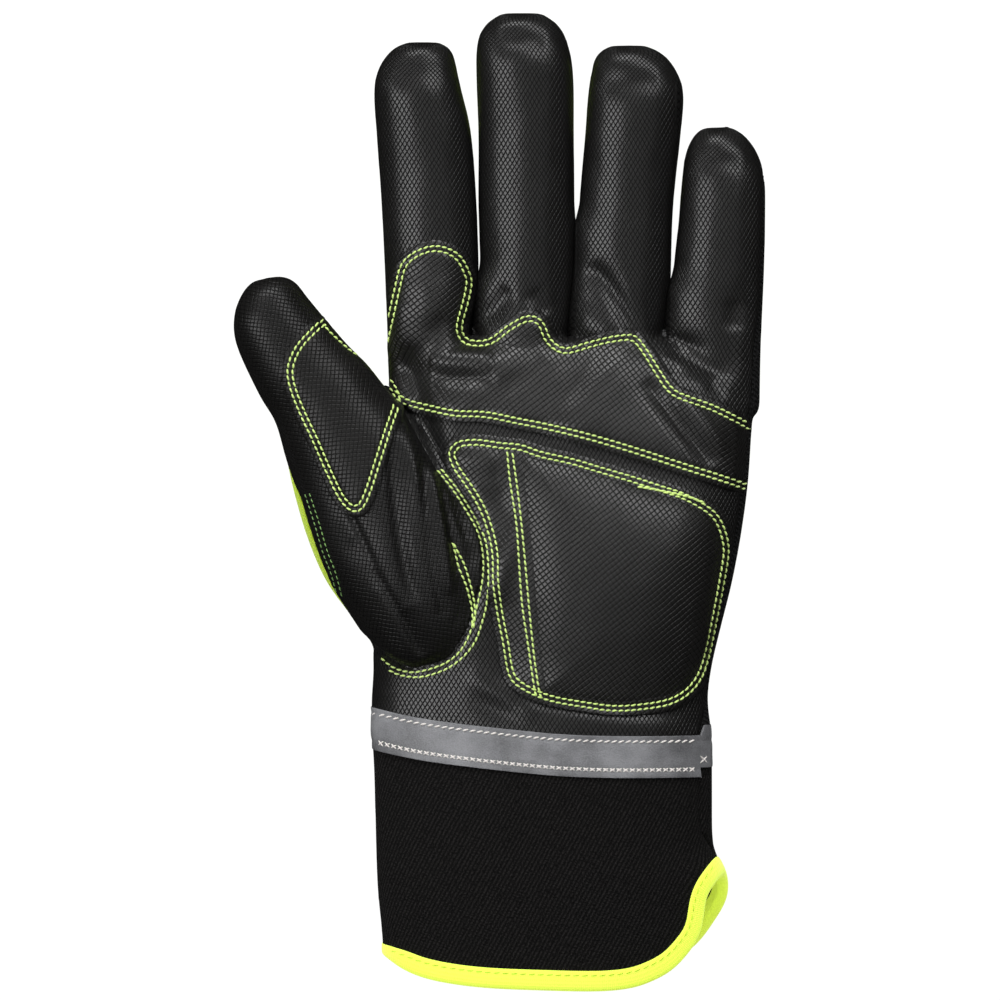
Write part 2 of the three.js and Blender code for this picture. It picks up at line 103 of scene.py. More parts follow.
# Fingers: middle line, half width and half depth, from inside the palm to the tip
FINGERS = {
    "index": table(
        "y x half depth",
        (165, -36.2, 13.2, 12.4), (185, -36.5, 13.3, 12.3), (205, -36.9, 13.6, 12.1),
        (225, -37.7, 13.8, 11.9), (245, -39.2, 13.7, 11.5), (257, -40.9, 12.7, 10.8),
        (263, -41, 11.5, 9.4), (267.4, -40.1, 9.6, 7.6), (269.2, -39.6, 7.6, 5.8),
        (270.5, -39.2, 4.4, 3.2),
    ),
    "middle": table(
        "y x half depth",
        (165, -9.6, 13.45, 12.6), (185, -9.6, 13.55, 12.6), (205, -9.3, 13.75, 12.4),
        (225, -9.6, 13.95, 12.2), (245, -9.7, 13.85, 11.9), (262, -10.1, 14.05, 11.4),
        (271, -10.8, 13.05, 10), (275.8, -11, 10.45, 7.6), (279.3, -11, 5.05, 3.2),
    ),
    "ring": table(
        "y x half depth",
        (165, 18.2, 13.35, 12.4), (185, 18.3, 13.45, 12.4), (205, 18.6, 13.55, 12.2),
        (225, 19.2, 13.65, 12), (245, 21.1, 13.85, 11.6), (256, 21.9, 13.85, 11),
        (262, 21.5, 12.55, 9.8), (266.8, 20.3, 10.05, 7.4), (269.8, 19.4, 4.85, 3.2),
    ),
    "little": table(
        "y x half depth",
        (165, 44.95, 12.75, 12), (185, 45.25, 12.85, 11.9), (205, 45.85, 13.15, 11.6),
        (220, 46.75, 12.55, 11.2), (232, 47.15, 11.95, 10.6), (239, 46.65, 10.45, 9.2),
        (243.8, 45.95, 7.55, 6.4), (246.4, 45.35, 3.75, 2.8),
    ),
}
CURL = table("y z", (165, 12.2), (205, 12.0), (235, 13.0), (262, 15.0), (282, 17.0))

# Thumb from the heel of the hand to its tip: crest line, reach to each side, depth, and lean
THUMB = table(
    "x y z left right depth lean",
    (-39.0, 90, 20.0, 8.4, 16.0, 13.0, 8), (-41.0, 98, 20.5, 12.6, 23.0, 17.0, 12),
    (-43.5, 110, 21.0, 16.8, 30.0, 19.5, 16), (-46.5, 124, 21.0, 22.2, 30.0, 19.8, 20),
    (-51.4, 137.4, 21, 23, 26.5, 18.8, 24), (-57.1, 149.6, 20.5, 21.3, 22, 17.2, 28),
    (-64.4, 160.4, 20.5, 17, 18.3, 15.6, 32), (-70, 169.4, 20.5, 14.1, 17, 14.2, 33),
    (-76.8, 175.6, 20.5, 11.4, 17.6, 13.2, 33), (-84.7, 188.3, 21, 9.6, 15.4, 12, 35),
    (-86.1, 195, 21.5, 8.7, 12.6, 10.4, 30), (-85.5, 199.9, 22, 6.3, 8.2, 7.2, 20),
    (-84.2, 202.7, 22.0, 3.2, 3.2, 3.2, 8),
)

BACK_SAG = 6            # how far an unflattened back would hang below the surface
FINGER_BASE = 0.4       # height of the fingers' flattened backs
FINGER_POWER = 2.2      # roundness of the fingers and the thumb: 2 is an ellipse, more is squarer
THINNEST = 0.5          # a tube never gets thinner than this at its end
FINGER_MIDDLE = 12      # height of the fingers' middle lines at the palm
OVERLAP = 0.45          # how far two fingers that touch are pressed past the faces between them
CONTACT_LEAN = -0.1     # sideways lean of the faces that touch, for each millimetre of height
CONTACT_ASIDE = 0.4     # how far the faces that touch lie nearer the thumb than halfway
CONTACT_DRIFT = 1.6     # how much farther at the palm
CONTACT_ROWS = np.arange(180, 232, 2.0)     # where the fingers' own widths are measured
CONTACT_NEAR = 1.2      # half the length of finger that is measured at each row
# How far up from the palm two neighbouring fingers lie against each other
TOUCHING = {"index": ("middle", 201.5), "middle": ("ring", 218.0), "ring": ("little", 200.0)}
SKIN_INSET = 1.2        # the tubes are merged this much too thin, then swelled to round their joins
VOXEL = 1.0             # grid on which the tubes are merged

# Folds of the palm side: a ridge, or a valley where the height is negative, along each line, which
# bows to its left by its bend
FOLDS = table(
    "x1 y1 x2 y2 bend width height",
    (-44.8, 184, -38.2, 160, 0, 4.6, -4.8),
    (-40, 163, -34, 149, 0, 3.6, -4.4),
    (-31, 139, -22, 120, 0, 5, -1.4),
    (-17, 114, -12, 86, 0, 5, -1.8),
    (-26, 160, 50, 141, 0, 6, -1.2),
    (-17, 76, 37, 76, 0, 6, 1.0),
    (-38, 190, -38, 204, 0, 7, 1.2),
    (34, 186, 52, 178, 0, 5, -1.4),
    (2, 96, 24, 122, 0, 20, 0.8),
    (-19, 143, -13, 129, 0, 5, -1.6),
)

# Finer creases that only show on the leather's surface
CREASES = table(
    "x1 y1 x2 y2 bend width height",
    # Pleats of the thumb's base
    (-44.9, 162, -34.6, 107, 1.0, 2.3, 1.5), (-47.6, 157, -41.5, 110, -2.0, 2.1, -1.5),
    (-39.4, 152, -33.5, 106, -1.4, 1.8, -1.3), (-37.4, 150, -31.4, 112, 0.8, 1.8, 1.2),
    (-34.6, 147, -28.8, 118, 0, 1.5, -1.1), (-31, 140, -26.4, 128, 0, 1.3, -0.7),
    (-72, 158, -52.5, 118.5, 0.8, 1.3, -0.7), (-53.5, 120, -39, 94, 0.3, 1.3, -0.7),
    (-60, 129, -51, 114, 0, 3.0, -0.4), (-44.6, 108, -38.8, 95, 0, 3.0, -0.7),
    # Between the web and the index finger
    (-37, 179.4, -19, 178.6, 0, 3.0, 1.9), (-36, 174.6, -18, 173.6, 0, 3.0, -1.3),
    (-26.4, 190, -26.2, 186, 0, 3.2, -1.6),
    (-36.8, 186, -33.4, 192, 0, 3.0, -0.8), (-45.0, 197, -44.5, 183, 0, 3.2, 0.8),
    # Under the middle and ring fingers
    (-23, 191, -15, 200.5, -1.0, 3.0, -1.5), (-8, 200, -3.4, 192.5, 0, 3.0, -1.4),
    (-14, 189.5, -9, 189, 0, 4.6, 0.5),
    (-5, 185, -29, 167.5, 0, 4.2, 0.7), (-4, 180, -26, 164, 0, 3.8, -0.9),
    (13, 183.5, -8, 159, 0, 4.6, -1.0), (20, 182, 3, 157, 0, 5.4, 0.8),
    (8, 207.5, 23.5, 184.5, 1.0, 2.9, -1.7), (5, 193, 14, 187, 0, 4.5, 0.9),
    # Under the little finger
    (24, 174, 44, 149, 0, 3.0, -1.8), (30, 173, 47, 152, 0, 3.0, 1.0),
    (30, 186, 48, 175.4, -1.2, 2.5, -1.8), (33, 178, 44, 173, 0, 3.2, 1.1),
    (27, 178.6, 48, 170, 1.6, 2.5, -1.3), (50.4, 197, 50.2, 188, 0, 3.6, -1.4),
    # Fingertips
    (-18, 272.2, -4, 271.2, 0, 3.6, -1.4), (13, 259, 28, 260, 0, 3.0, -0.9),
    (41, 238, 52, 236, 0, 3.0, -0.7), (-48, 262, -33, 262, 0, 4.0, -0.5),
    # Heel of the hand and wrist
    (-11, 134, -20, 110, 0, 2.8, 1.0), (-30, 152, -18, 150.5, 0, 4.0, 1.0),
    (-27, 89.5, -6, 78, 0, 3.4, 0.7), (-14, 82.6, 35, 78, 0, 2.4, -0.8),
    (-26, 83, -2, 72.5, 0, 3.0, -0.4),
)
FINE_CREASES = 8        # the pleats at the table's start
RIPPLE = 0.3            # height of the leather's slight unevenness

# The cuff stands out beside the slit, most of all its back
FLARE_AT = 27           # row of the back's widest flare
FLARE_REACH = 9
FLARE = 5.2
FRONT_FLARE = 4.0

# The slit at the little finger's side, seen from that side, and the hem, seen from above
SLIT_APEX = 33.5
SLIT_HEIGHT = 20
SLIT_FROM = 24          # the slit opens only to the right of this
FAR = 50.0              # distance given to places that the slit doesn't reach
SLIT = table(
    "y above below",
    (33, 4.2, 1.2), (31.8, 7.0, 2.0), (28, 11.6, 3.4), (24, 12.6, 4.8), (14, 13.4, 8.6),
    (6, 14.4, 12), (-14, 15, 13),
)
HEM = ((-64, 12), (-53, 10.2), (-50.0, 9.0), (-46.0, 6.3), (-38, 3.4), (-24, 1.4), (-6, 0.6), (13, 0.3),
       (24, 1.9), (32, 5.2), (38.4, 10.4), (43.6, 14.2), (47.2, 18.6), (49.6, 24.6), (54, 36))
HEM_CORNER = 2.5        # rounding where the hem turns into the slit
BEYOND = ((56, 60), (60, 310), (-120, 310), (-120, 60))     # closes the hem's line round the glove
BACK_FARTHER = 2.2      # how much farther out the back's hem runs beside the slit

BAND_LINE = ((-70, 77), (-54.2, 74), (-37.4, 70.7), (-8.6, 67.4), (11.5, 66.2), (39.7, 66), (64, 66))
BAND_WIDTH = 11.8
BAND_STEP = 2.8         # the back's band sits this much nearer the fingers at the slit's side
BAND_ROWS = (4.4, -3.7)     # its upper and lower stitches, from its middle line
BAND_SPANS = ((-56, 38.6, 0), (39.8, 45, BAND_STEP))    # left end, right end and step of each length
BAND_SLANT = 0.985      # turns a distance along Y into one across the band

# The hem's binding: its stations, the corners of its profile and its narrow left end
STATION = 1.1           # distance between two stations along the hem
CORNER = 1.2            # length of weave from one corner of the profile to the next
NARROWEST = 0.68        # share of the width at the hem's left corner
WIDENING = 0.32         # what it gains from there on

# Outlines of the sewn pieces, seen from above
PATCH_LOWER_EDGE = (
    (-49.4, 168.8), (-47.4, 167), (-44.3, 165.3), (-37.3, 163.6), (-30.4, 162.1), (-21.6, 161.7),
    (-13, 160),
    (-4.8, 158.4), (5.5, 156), (16.3, 152.9), (25.9, 149.9), (35, 146.9), (45, 143.8), (52.7, 141.3),
    (62, 138.8),
)
PATCH_UPPER_EDGE = (
    (66, 158), (55, 162.6), (45.1, 167.4), (37.9, 170), (33.4, 172), (30, 176.6), (26.2, 182.8),
    (22.8, 187.2), (19.5, 188.1), (12.9, 187.2), (6.9, 185.6), (2.6, 184.3), (0.6, 184.4),
    (-1.9, 186.6), (-3.6, 190.8), (-6.6, 193.2), (-10.6, 193.2), (-15.8, 190.4), (-20.9, 186.7),
    (-25.4, 186.5),
    (-26.8, 187.8), (-26.8, 190), (-25.2, 195.8), (-24.1, 201.5), (-24.6, 204.6), (-27.4, 210),
    (-31.9, 212.9), (-37.1, 213.5), (-42.8, 211.4), (-46.8, 207.4), (-48.8, 200.1), (-50.4, 192.9),
    (-52.4, 184), (-53.4, 176),
)
PALM_PATCH = ((-58, 170), *PATCH_LOWER_EDGE, *PATCH_UPPER_EDGE)
HEEL_PATCH = (
    (-33.2, 152.6), (-32.2, 155), (-29.8, 157.2), (-23.9, 157.9), (-17, 157), (-10.9, 156.4),
    (-5.2, 154.4), (3.7, 152.4), (12.4, 149.8), (21.3, 147.2), (29.9, 144.4), (35.9, 142.4),
    (42.1, 139.1), (45.9, 136), (48.2, 131.7), (49.5, 126.2), (49.2, 121.3), (47.7, 112.7),
    (46, 103.8), (44.1, 94.7), (41.7, 88), (37.9, 83.2), (32.1, 79.9), (24.1, 78.4), (15.2, 77.9),
    (6.6, 79), (-2.7, 80.7), (-9.8, 83.4), (-14.5, 86.6), (-16.4, 90.6), (-17.6, 98), (-19.3, 106.7),
    (-20.5, 115.6), (-20.7, 124), (-22.1, 130.4), (-24.4, 136.6), (-28, 142.6), (-31.5, 147.7),
)
THUMB_PATCH = (
    (-67.8, 192.5), (-74, 187.2), (-77.7, 182), (-79.3, 176.2), (-78.3, 170.6), (-75.6, 163.7),
    (-71.8, 155.6), (-68.1, 147), (-64.3, 139.2), (-61.1, 135.7), (-58.1, 134.6), (-55, 136.6),
    (-52.6, 142), (-50, 150.3), (-47.1, 159.5), (-44.8, 166.8), (-45.2, 170.8), (-48, 175.4),
    (-51.6, 179.2), (-55.6, 182.4), (-59.2, 185.0), (-63.8, 189.2),
)
GUSSET = (
    (-46.4, 169.8), (-41.7, 161), (-36.2, 151), (-30.6, 141.4), (-26.4, 134.4), (-24, 129.4),
    (-22.9, 124.2), (-22.7, 118.4), (-23.8, 113), (-25.3, 108), (-26.6, 103.2), (-29.4, 98.3),
    (-32, 94.8), (-35.8, 92.8), (-39.1, 91.7), (-42, 90.9), (-45.5, 91.7), (-48.2, 93), (-50.4, 94.6),
    (-52.3, 96.4), (-60, 101), (-74, 108), (-110, 140), (-112, 200), (-90, 222), (-66, 206),
    (-53.6, 183.6), (-50.6, 176.4), (-48.4, 172.2),
)
# The padded part of the heel patch lies to the right of its two divider rows
DIVIDER = ((-11.6, 164), (-11.4, 153.5), (-9.4, 138.9), (-8, 124.2), (-6.8, 109.5), (-5.4, 94.9),
           (-3.6, 80), (-2.6, 70))
PAD_MARGIN = 4.2        # the padding stops this far inside the patch's edge
PAD_SLOPE = 8           # how gently it rises from there
PAD_LIFT = 0.1          # how far its cover stands off the skin at the edge

# Stretch strips between the fingers: the fingers on both sides and where the strip ends
STRIPS = {
    "index_middle": ("index", "middle", 248),
    "middle_ring": ("middle", "ring", 250),
    "ring_little": ("ring", "little", 230),
}
STRIP_ABOVE = 1.2       # reach above the fingers' side seams
STRIP_BELOW = 5.5       # reach below them
STRIP_TAPER = 14        # length over which a strip narrows to its end
FINGER_SEAM_DROP = 2.8  # how much lower than the middle line the fingers' seams run
SIDE_RISE = 9.5         # how much higher the cuff's seam runs beside the slit
SIDE_STRIP = 9          # black strip under the seam on the little finger's side
STRIP_RISE = 6.5        # how much higher its upper seam runs there, so that it shows from above

# Heights where the thumb's front meets its back, on its outer side and on the side of the web
THUMB_SEAM = table(
    "y z", (80, 18), (106, 21), (118, 26.5), (130, 27), (140, 26), (148, 22), (154, 18), (166, 17),
    (215, 17),
)
WEB_SEAM = table("y z", (165, 13), (172, 13.5), (200, 19.5))

# Sewn layers: how far they stand off the skin, roll in at their edge and sink into the side seam
LAYER_LIFT = 0.25
EDGE_ROLL = 0.45
SEAM_SINK = 1.25
EDGE_ROUNDING = 0.35
PUCKER = 2.1            # size of the puckers along a row of stitches

# Stitching: margins inside a piece's edge, and rows that follow no edge
ROWS = (1.35, 2.8)
DIVIDER_ROWS = [
    [(-15.2, 153.4), (-14.4, 144.9), (-12.6, 133.1), (-11.8, 121.3), (-10.9, 109.5), (-9.2, 98),
     (-7.5, 86.0), (-6.9, 83.4)],
    [(-13.7, 153.0), (-11.8, 138.9), (-10.3, 124.2), (-9.0, 109.5), (-7.5, 94.9), (-6, 84.5),
     (-5.4, 82.8)],
]
GUSSET_ROWS = [
    [(-35.3, 148), (-30.7, 142.3), (-27, 136.6), (-23.9, 131.2), (-22.4, 126.5), (-21.9, 121.5),
     (-22.1, 117), (-22.8, 113.2), (-23.7, 109.3), (-24.7, 105), (-26, 100.8), (-28.4, 96.4),
     (-31.7, 93.4), (-35.2, 91.7), (-38.6, 90.7), (-42, 90.1), (-45.8, 90.7), (-48.8, 92.1),
     (-51.4, 94.4)],
    [(-34.2, 148.4), (-29.6, 142.8), (-25.9, 137.1), (-22.9, 131.7), (-21.2, 127.2), (-20.6, 122),
     (-20.5, 117), (-20.7, 112.8), (-21.3, 108.4), (-22.5, 104), (-24.1, 99.4), (-27.2, 95.1),
     (-31.3, 91.8), (-35.2, 90), (-40.4, 88.7), (-45.9, 89.3), (-49.2, 90.8)],
]
DART_ROWS = [
    [(-30.9, 127.4), (-29.9, 123.8), (-29, 120), (-27.1, 115.6), (-25.8, 111), (-25, 106.8),
     (-25.2, 103.4)],
    [(-30.6, 127.2), (-29.2, 124.4), (-27.6, 121.4), (-25.8, 115.8), (-24.5, 109.9), (-24.3, 106.4),
     (-24.8, 102.8)],
]
THUMB_SIDE_ROWS = [
    [(-73.1, 141.3), (-70.2, 132.4), (-67.8, 124.2), (-65.5, 118.3), (-63.7, 111.2)],
    [(-71.8, 141.6), (-68.9, 132.8), (-66.5, 124.6), (-64.2, 118.7), (-62.4, 111.6)],
]
# A sewn-over stretch on the heel patch, where the stitches lie double
SEWN_OVER = [(22.1, 143.2), (29.8, 141.8), (33.9, 141), (37.5, 140), (41.1, 138.6)]

# Where the overlocked seam along the little finger's side starts and ends
OVERLOCK = (84, 245)

# Stitches land on the surface from this height, but not where it is steeper than this
DROP_HEIGHT = 90
STEEPEST = 0.12
# The shortest and the longest stitch, as shares of the usual length
SHORTEST = 0.2
LONGEST = 3.2

# The pieces on which stitches land
OUTER_PIECES = (
    "palm_leather", "side_strip", "thumb_leather", "upper_patch", "thumb_grip", "heel_grip",
    "heel_cushion", "band_palm_side", "band_back_side", "cuff_palm_side", "cuff_back_side",
)

# Stage, in metres: where each light stands, and how wide and long it is
LIGHTS = {
    "key": ((-0.15, 1.45, 0.75), (1.0, 0.5)),
    "strip": ((-0.9, 0.1, 1.1), (0.5, 1.2)),
    "fill": ((0.6, 0.9, 1.05), (0.8, 0.6)),
    "top": ((0, 0.2, 1.6), (2.4, 2.4)),
}
FLOOR_HALF = 4
CAMERA_PLACE = (0.00049, 0.0002)
FRAMED_HEIGHT = 0.02    # the height at which the camera frames its width


def sized(kind, name, description, default, **more):
    """One setting in the panel, with its description."""
    return kind(name=name, description=description, default=default, **more)


def length(name, description, default):
    """A length in the panel, in metres, given here in millimetres."""
    return sized(FloatProperty, name, description, default * MM, min=0, unit="LENGTH", precision=5)


def power(name, description, default):
    """A light's power in the panel, in watts."""
    return sized(FloatProperty, name, description, default, min=0, unit="POWER")


def colour(name, description, default):
    """A colour in the panel."""
    return sized(FloatVectorProperty, name, description, default, subtype="COLOR", size=3, min=0, max=1)


class GloveSizes(bpy.types.PropertyGroup):
    """Sizes of the walls, the sewn pieces, the stitching and the leather's net"""

    wall: length("Wall", "Leather or knit with its insulation and lining", 2.6)
    cuff_wall: length("Cuff Wall", "Softshell of the cuff with its lining", 2.0)
    patch: length("Patch", "Leather sewn on the palm", 1.1)
    pad: length("Pad", "Height of the padding at the heel of the hand", 2.5)
    tape: length("Tape", "Thickness of the reflective band", 0.55)
    binding: length("Binding", "Thickness of each leg of the hem's binding", 0.85)
    binding_width: length("Binding Width", "How far the binding reaches over the cuff", 5.2)
    stitch: length("Stitch", "Distance from one stitch to the next", 1.8)
    thread: length("Thread", "Thickness of the sewing thread", 0.62)
    grain: length("Grain", "Distance between the grooves of the leather", 1.18)
    smoothing: sized(IntProperty, "Smoothing", "How often the merged tubes are smoothed", 7, min=0)


class GloveColours(bpy.types.PropertyGroup):
    """Colours of the glove's materials"""

    leather: colour("Leather", "Palm leather", (0.0052, 0.0050, 0.0048))
    patch: colour("Patch Leather", "Grip patches", (0.0062, 0.0059, 0.0056))
    stretch: colour("Stretch Fabric", "Strips between the fingers", (0.004, 0.004, 0.0042))
    fabric: colour("Back Fabric", "Knitted back of the hand and thumb", (0.70, 0.98, 0.014))
    softshell: colour("Softshell", "Twill of the cuff", (0.0042, 0.0039, 0.0038))
    tape: colour("Reflective Tape", "Band round the wrist", (0.185, 0.187, 0.197))
    binding: colour("Binding", "Hem binding", (0.76, 0.97, 0.08))
    thread: colour("Thread", "Bright stitches", (0.72, 0.95, 0.27))
    band_thread: colour("Band Thread", "Stitches on the reflective band", (0.82, 0.77, 0.74))
    tonal_thread: colour("Tonal Thread", "Stitches on the hem's binding", (0.66, 0.92, 0.03))
    edge_thread: colour("Edge Thread", "Stitches on the thumb's outer side", (0.20, 0.40, 0.10))
    lining: colour("Lining", "Inner side of the walls", (0.012, 0.012, 0.013))


class GloveStudio(bpy.types.PropertyGroup):
    """The floor, the camera and the lights"""

    distance: sized(
        FloatProperty, "Camera Height", "Height of the camera over the floor", 2.2,
        min=0.5, unit="LENGTH")
    width: sized(
        FloatProperty, "Framed Width", "Width of what the camera frames, at the glove's middle height",
        0.2875, min=0.1, unit="LENGTH")
    key: power("Key Light", "Power of the low soft box beyond the fingertips", 14)
    strip: power("Strip Light", "Power of the narrow light along the left", 11)
    fill: power("Fill Light", "Power of the soft box at the upper right", 8)
    top: power("Top Light", "Power of the large light overhead", 8)
    sky: sized(FloatProperty, "Surroundings", "Brightness of the pale room", 0.01, min=0)
    floor_glow: sized(
        FloatProperty, "Floor Glow", "How much the floor is lit from within", 0.99, min=0)


def sizes():
    return bpy.context.scene.glove_sizes


def colours():
    return bpy.context.scene.glove_colours


def studio():
    return bpy.context.scene.glove_studio


# Arithmetic on tables, outlines and heights

def smoothstep(value, low, high):
    share = np.clip((value - low) / (high - low), 0, 1)
    return share * share * (3 - 2 * share)


def squared(value, power):
    return np.sign(value) * np.abs(value) ** (2 / power)


def resampled(rows, count):
    """Smooth values of every column of a table, at evenly spread places between its rows."""
    last = len(next(iter(rows.values()))) - 1
    place = np.linspace(0, last, count)
    low = np.minimum(place.astype(int), last - 1)
    share = place - low
    result = {}
    for name, values in rows.items():
        slope = np.gradient(values)
        rise = values[low + 1] - values[low]
        bend = (share - 1) * share
        result[name] = (
            values[low] + rise * share
            + bend * ((share - 1) * (slope[low] - rise) + share * (slope[low + 1] - rise))
        )
    return result


def at(rows, column, y):
    return np.interp(y, rows["y"], rows[column])


def smooth_line(corners, closed=True, steps=6):
    """A curve through an outline's corners, as an array of points."""
    points = np.array(corners, float)
    count = len(points)
    spans = range(count if closed else count - 1)
    shares = np.arange(steps) / steps
    result = []
    for i in spans:
        picked = [i - 1, i, i + 1, i + 2]
        if closed:
            p0, p1, p2, p3 = (points[k % count] for k in picked)
        else:
            p0, p1, p2, p3 = (points[min(max(k, 0), count - 1)] for k in picked)
        for t in shares:
            result.append(0.5 * (
                2 * p1 + (p2 - p0) * t + (2 * p0 - 5 * p1 + 4 * p2 - p3) * t * t
                + (3 * p1 - p0 - 3 * p2 + p3) * t ** 3
            ))
    if not closed:
        result.append(points[-1])
    return np.array(result)


def distance_to_line(points, line, closed):
    """Distance of each point from a line of points in the plane."""
    ends = np.roll(line, -1, axis=0) if closed else line[1:]
    starts = line if closed else line[:-1]
    nearest = np.full(len(points), np.inf)
    for a, b in zip(starts, ends):
        along = b - a
        share = np.clip((points - a) @ along / max(along @ along, 1e-12), 0, 1)
        nearest = np.minimum(nearest, np.hypot(*(points - a - share[:, None] * along).T))
    return nearest


def depth_inside(points, outline):
    """Distance of each point from an outline, positive inside it and negative outside."""
    inside = np.zeros(len(points), bool)
    x, y = points.T
    for (x1, y1), (x2, y2) in zip(outline, np.roll(outline, -1, axis=0)):
        if y1 == y2:
            continue
        crosses = (y1 > y) != (y2 > y)
        inside ^= crosses & (x < x1 + (y - y1) * (x2 - x1) / (y2 - y1))
    return distance_to_line(points, outline, closed=True) * np.where(inside, 1, -1)


MAP_CORNER = np.array([-112.0, -14.0])
MAP_SIZE = (184, 310)   # millimetres across and along


@functools.cache
def distance_map(outline):
    """Depth inside an outline at every millimetre of the drawing, worked out once."""
    steps = [np.arange(count, dtype=float) for count in MAP_SIZE]
    spots = np.stack(np.meshgrid(*steps, indexing="ij"), axis=-1).reshape(-1, 2) + MAP_CORNER
    return depth_inside(spots, smooth_line(outline, steps=4)).reshape(MAP_SIZE)


def depth_in(outline, points):
    """Distance of each point from an outline in the plane, positive inside it."""
    values = distance_map(outline)
    spot = np.clip(points[:, :2] - MAP_CORNER, 0, np.array(MAP_SIZE) - 1.001)
    i, j = spot.astype(int).T
    s, t = (spot - np.floor(spot)).T
    near = values[i, j] * (1 - s) + values[i + 1, j] * s
    far = values[i, j + 1] * (1 - s) + values[i + 1, j + 1] * s
    return near * (1 - t) + far * t


def line_height(line, x):
    """Height of a line that runs from left to right, at some x."""
    corners = smooth_line(line, closed=False)
    return np.interp(x, corners[:, 0], corners[:, 1])


def fold_height(folds, x, y):
    """Height of all folds of a table at points of the palm side. Long folds fade towards their ends."""
    total = np.zeros(len(x))
    for x1, y1, x2, y2, bend, width, height in zip(*folds.values()):
        span = np.array([x2 - x1, y2 - y1])
        reach = np.hypot(*span)
        share = ((x - x1) * span[0] + (y - y1) * span[1]) / reach ** 2
        inside = np.clip(share, 0, 1)
        off = ((y - y1) * span[0] - (x - x1) * span[1]) / reach - bend * 4 * inside * (1 - inside)
        beyond = (share - inside) * reach
        fade = 1 - (1 - min(1, width / reach)) * (2 * inside - 1) ** 4
        total += height * fade * np.exp(-(off ** 2 + beyond ** 2) / width ** 2)
    return total


# The glove's outer surface, from which all panels are cut

def wrapped(sides, rows, place, ends=True):
    """A flat grid wrapped into a tube: place(turn, row) gives the points, and open ends are filled.
    Without ends the tube closes on itself as a ring."""
    bm = bmesh.new()
    bmesh.ops.create_grid(bm, x_segments=sides, y_segments=rows - 1, size=0.5)
    spot = np.array([vert.co[:2] for vert in bm.verts]) + 0.5
    spot[:, 1] *= rows - 1
    for vert, point in zip(bm.verts, place(spot[:, 0], np.rint(spot[:, 1]).astype(int))):
        vert.co = point
    bmesh.ops.remove_doubles(bm, verts=bm.verts, dist=1e-4)
    if ends:
        rims = [edge for edge in bm.edges if edge.is_boundary]
        bmesh.ops.holes_fill(bm, edges=rims, sides=0)
    bmesh.ops.recalc_face_normals(bm, faces=bm.faces)
    return bm


def around(turn):
    """Sideways and upward share of each place round a tube, from its turn of 0 to 1."""
    return np.sin(turn * 2 * math.pi), np.cos(turn * 2 * math.pi)


def folded(x, y, z, up):
    """Heights with the folds of the palm side, which fade towards the sides."""
    return z + np.where(up > 0, fold_height(FOLDS, x, y) * np.sqrt(np.maximum(up, 0)), 0)


def lengthened(y, row, grow):
    """A tube's rows, with the last one moved out by its growth."""
    return y[row] + np.where(row == len(y) - 1, grow, 0)


def hand_points(turn, row, rows, grow):
    side, up = around(turn)
    left, right, top, seam = (rows[name][row] for name in ("left", "right", "top", "seam"))
    power, y = rows["power"][row], rows["y"][row]
    rise = np.where(up > 0, top - seam + grow, seam + BACK_SAG + grow)
    x = (left + right) / 2 + ((right - left) / 2 + grow) * squared(side, power)
    z = seam + rise * squared(up, power)
    back_flare = FLARE * np.exp(-(((y - FLARE_AT) / FLARE_REACH) ** 2))
    back_flare = back_flare * np.clip((0.2 - up) / 0.4, 0, 1)
    front_flare = FRONT_FLARE * (1 - smoothstep(y, 30, 41)) * np.clip((0.2 + up) / 0.4, 0, 1)
    x = x + np.maximum(side, 0) * (back_flare + front_flare)
    z = np.maximum(folded(x, y, z, up), rows["base"][row] - grow)
    return np.column_stack([x, lengthened(rows["y"], row, grow), z])


def finger_points(turn, row, rows, grow):
    side, up = around(turn)
    half = np.maximum(rows["half"][row] + grow, THINNEST)
    depth = np.maximum(rows["depth"][row] + grow, THINNEST)
    y = rows["y"][row]
    x = rows["x"][row] + half * squared(side, FINGER_POWER)
    z = at(CURL, "z", y) + depth * squared(up, FINGER_POWER)
    z = np.maximum(folded(x, y, z, up), FINGER_BASE - grow)
    return np.column_stack([x, lengthened(rows["y"], row, grow), z])


def thumb_points(turn, row, rows, grow):
    side, up = around(turn)
    lean = np.radians(rows["lean"][row])
    reach = np.where(side < 0, rows["left"][row], rows["right"][row])
    reach = np.maximum(reach + grow, THINNEST) * squared(side, FINGER_POWER)
    x = rows["x"][row] + reach * np.cos(lean)
    y = rows["y"][row] + reach * np.sin(lean)
    z = rows["z"][row] + np.maximum(rows["depth"][row] + grow, THINNEST) * squared(up, FINGER_POWER)
    end = np.where(row == len(rows["y"]) - 1, grow, 0)
    return np.column_stack([x, y + end, folded(x, y, z, up)])


def vertex_values(bm, collection, name):
    """Three numbers of every vertex, read through a mesh, which is quicker than one by one."""
    mesh = bpy.data.meshes.new("values")
    bm.to_mesh(mesh)
    values = np.empty(len(mesh.vertices) * 3, np.float32)
    getattr(mesh, collection).foreach_get(name, values)
    bpy.data.meshes.remove(mesh)
    return values.reshape(-1, 3).astype(float)


def coordinates(bm):
    return vertex_values(bm, "vertices", "co")


def normals(bm):
    bm.normal_update()
    return vertex_values(bm, "vertex_normals", "vector")


def move(bm, points):
    for vert, point in zip(bm.verts, points):
        vert.co = point


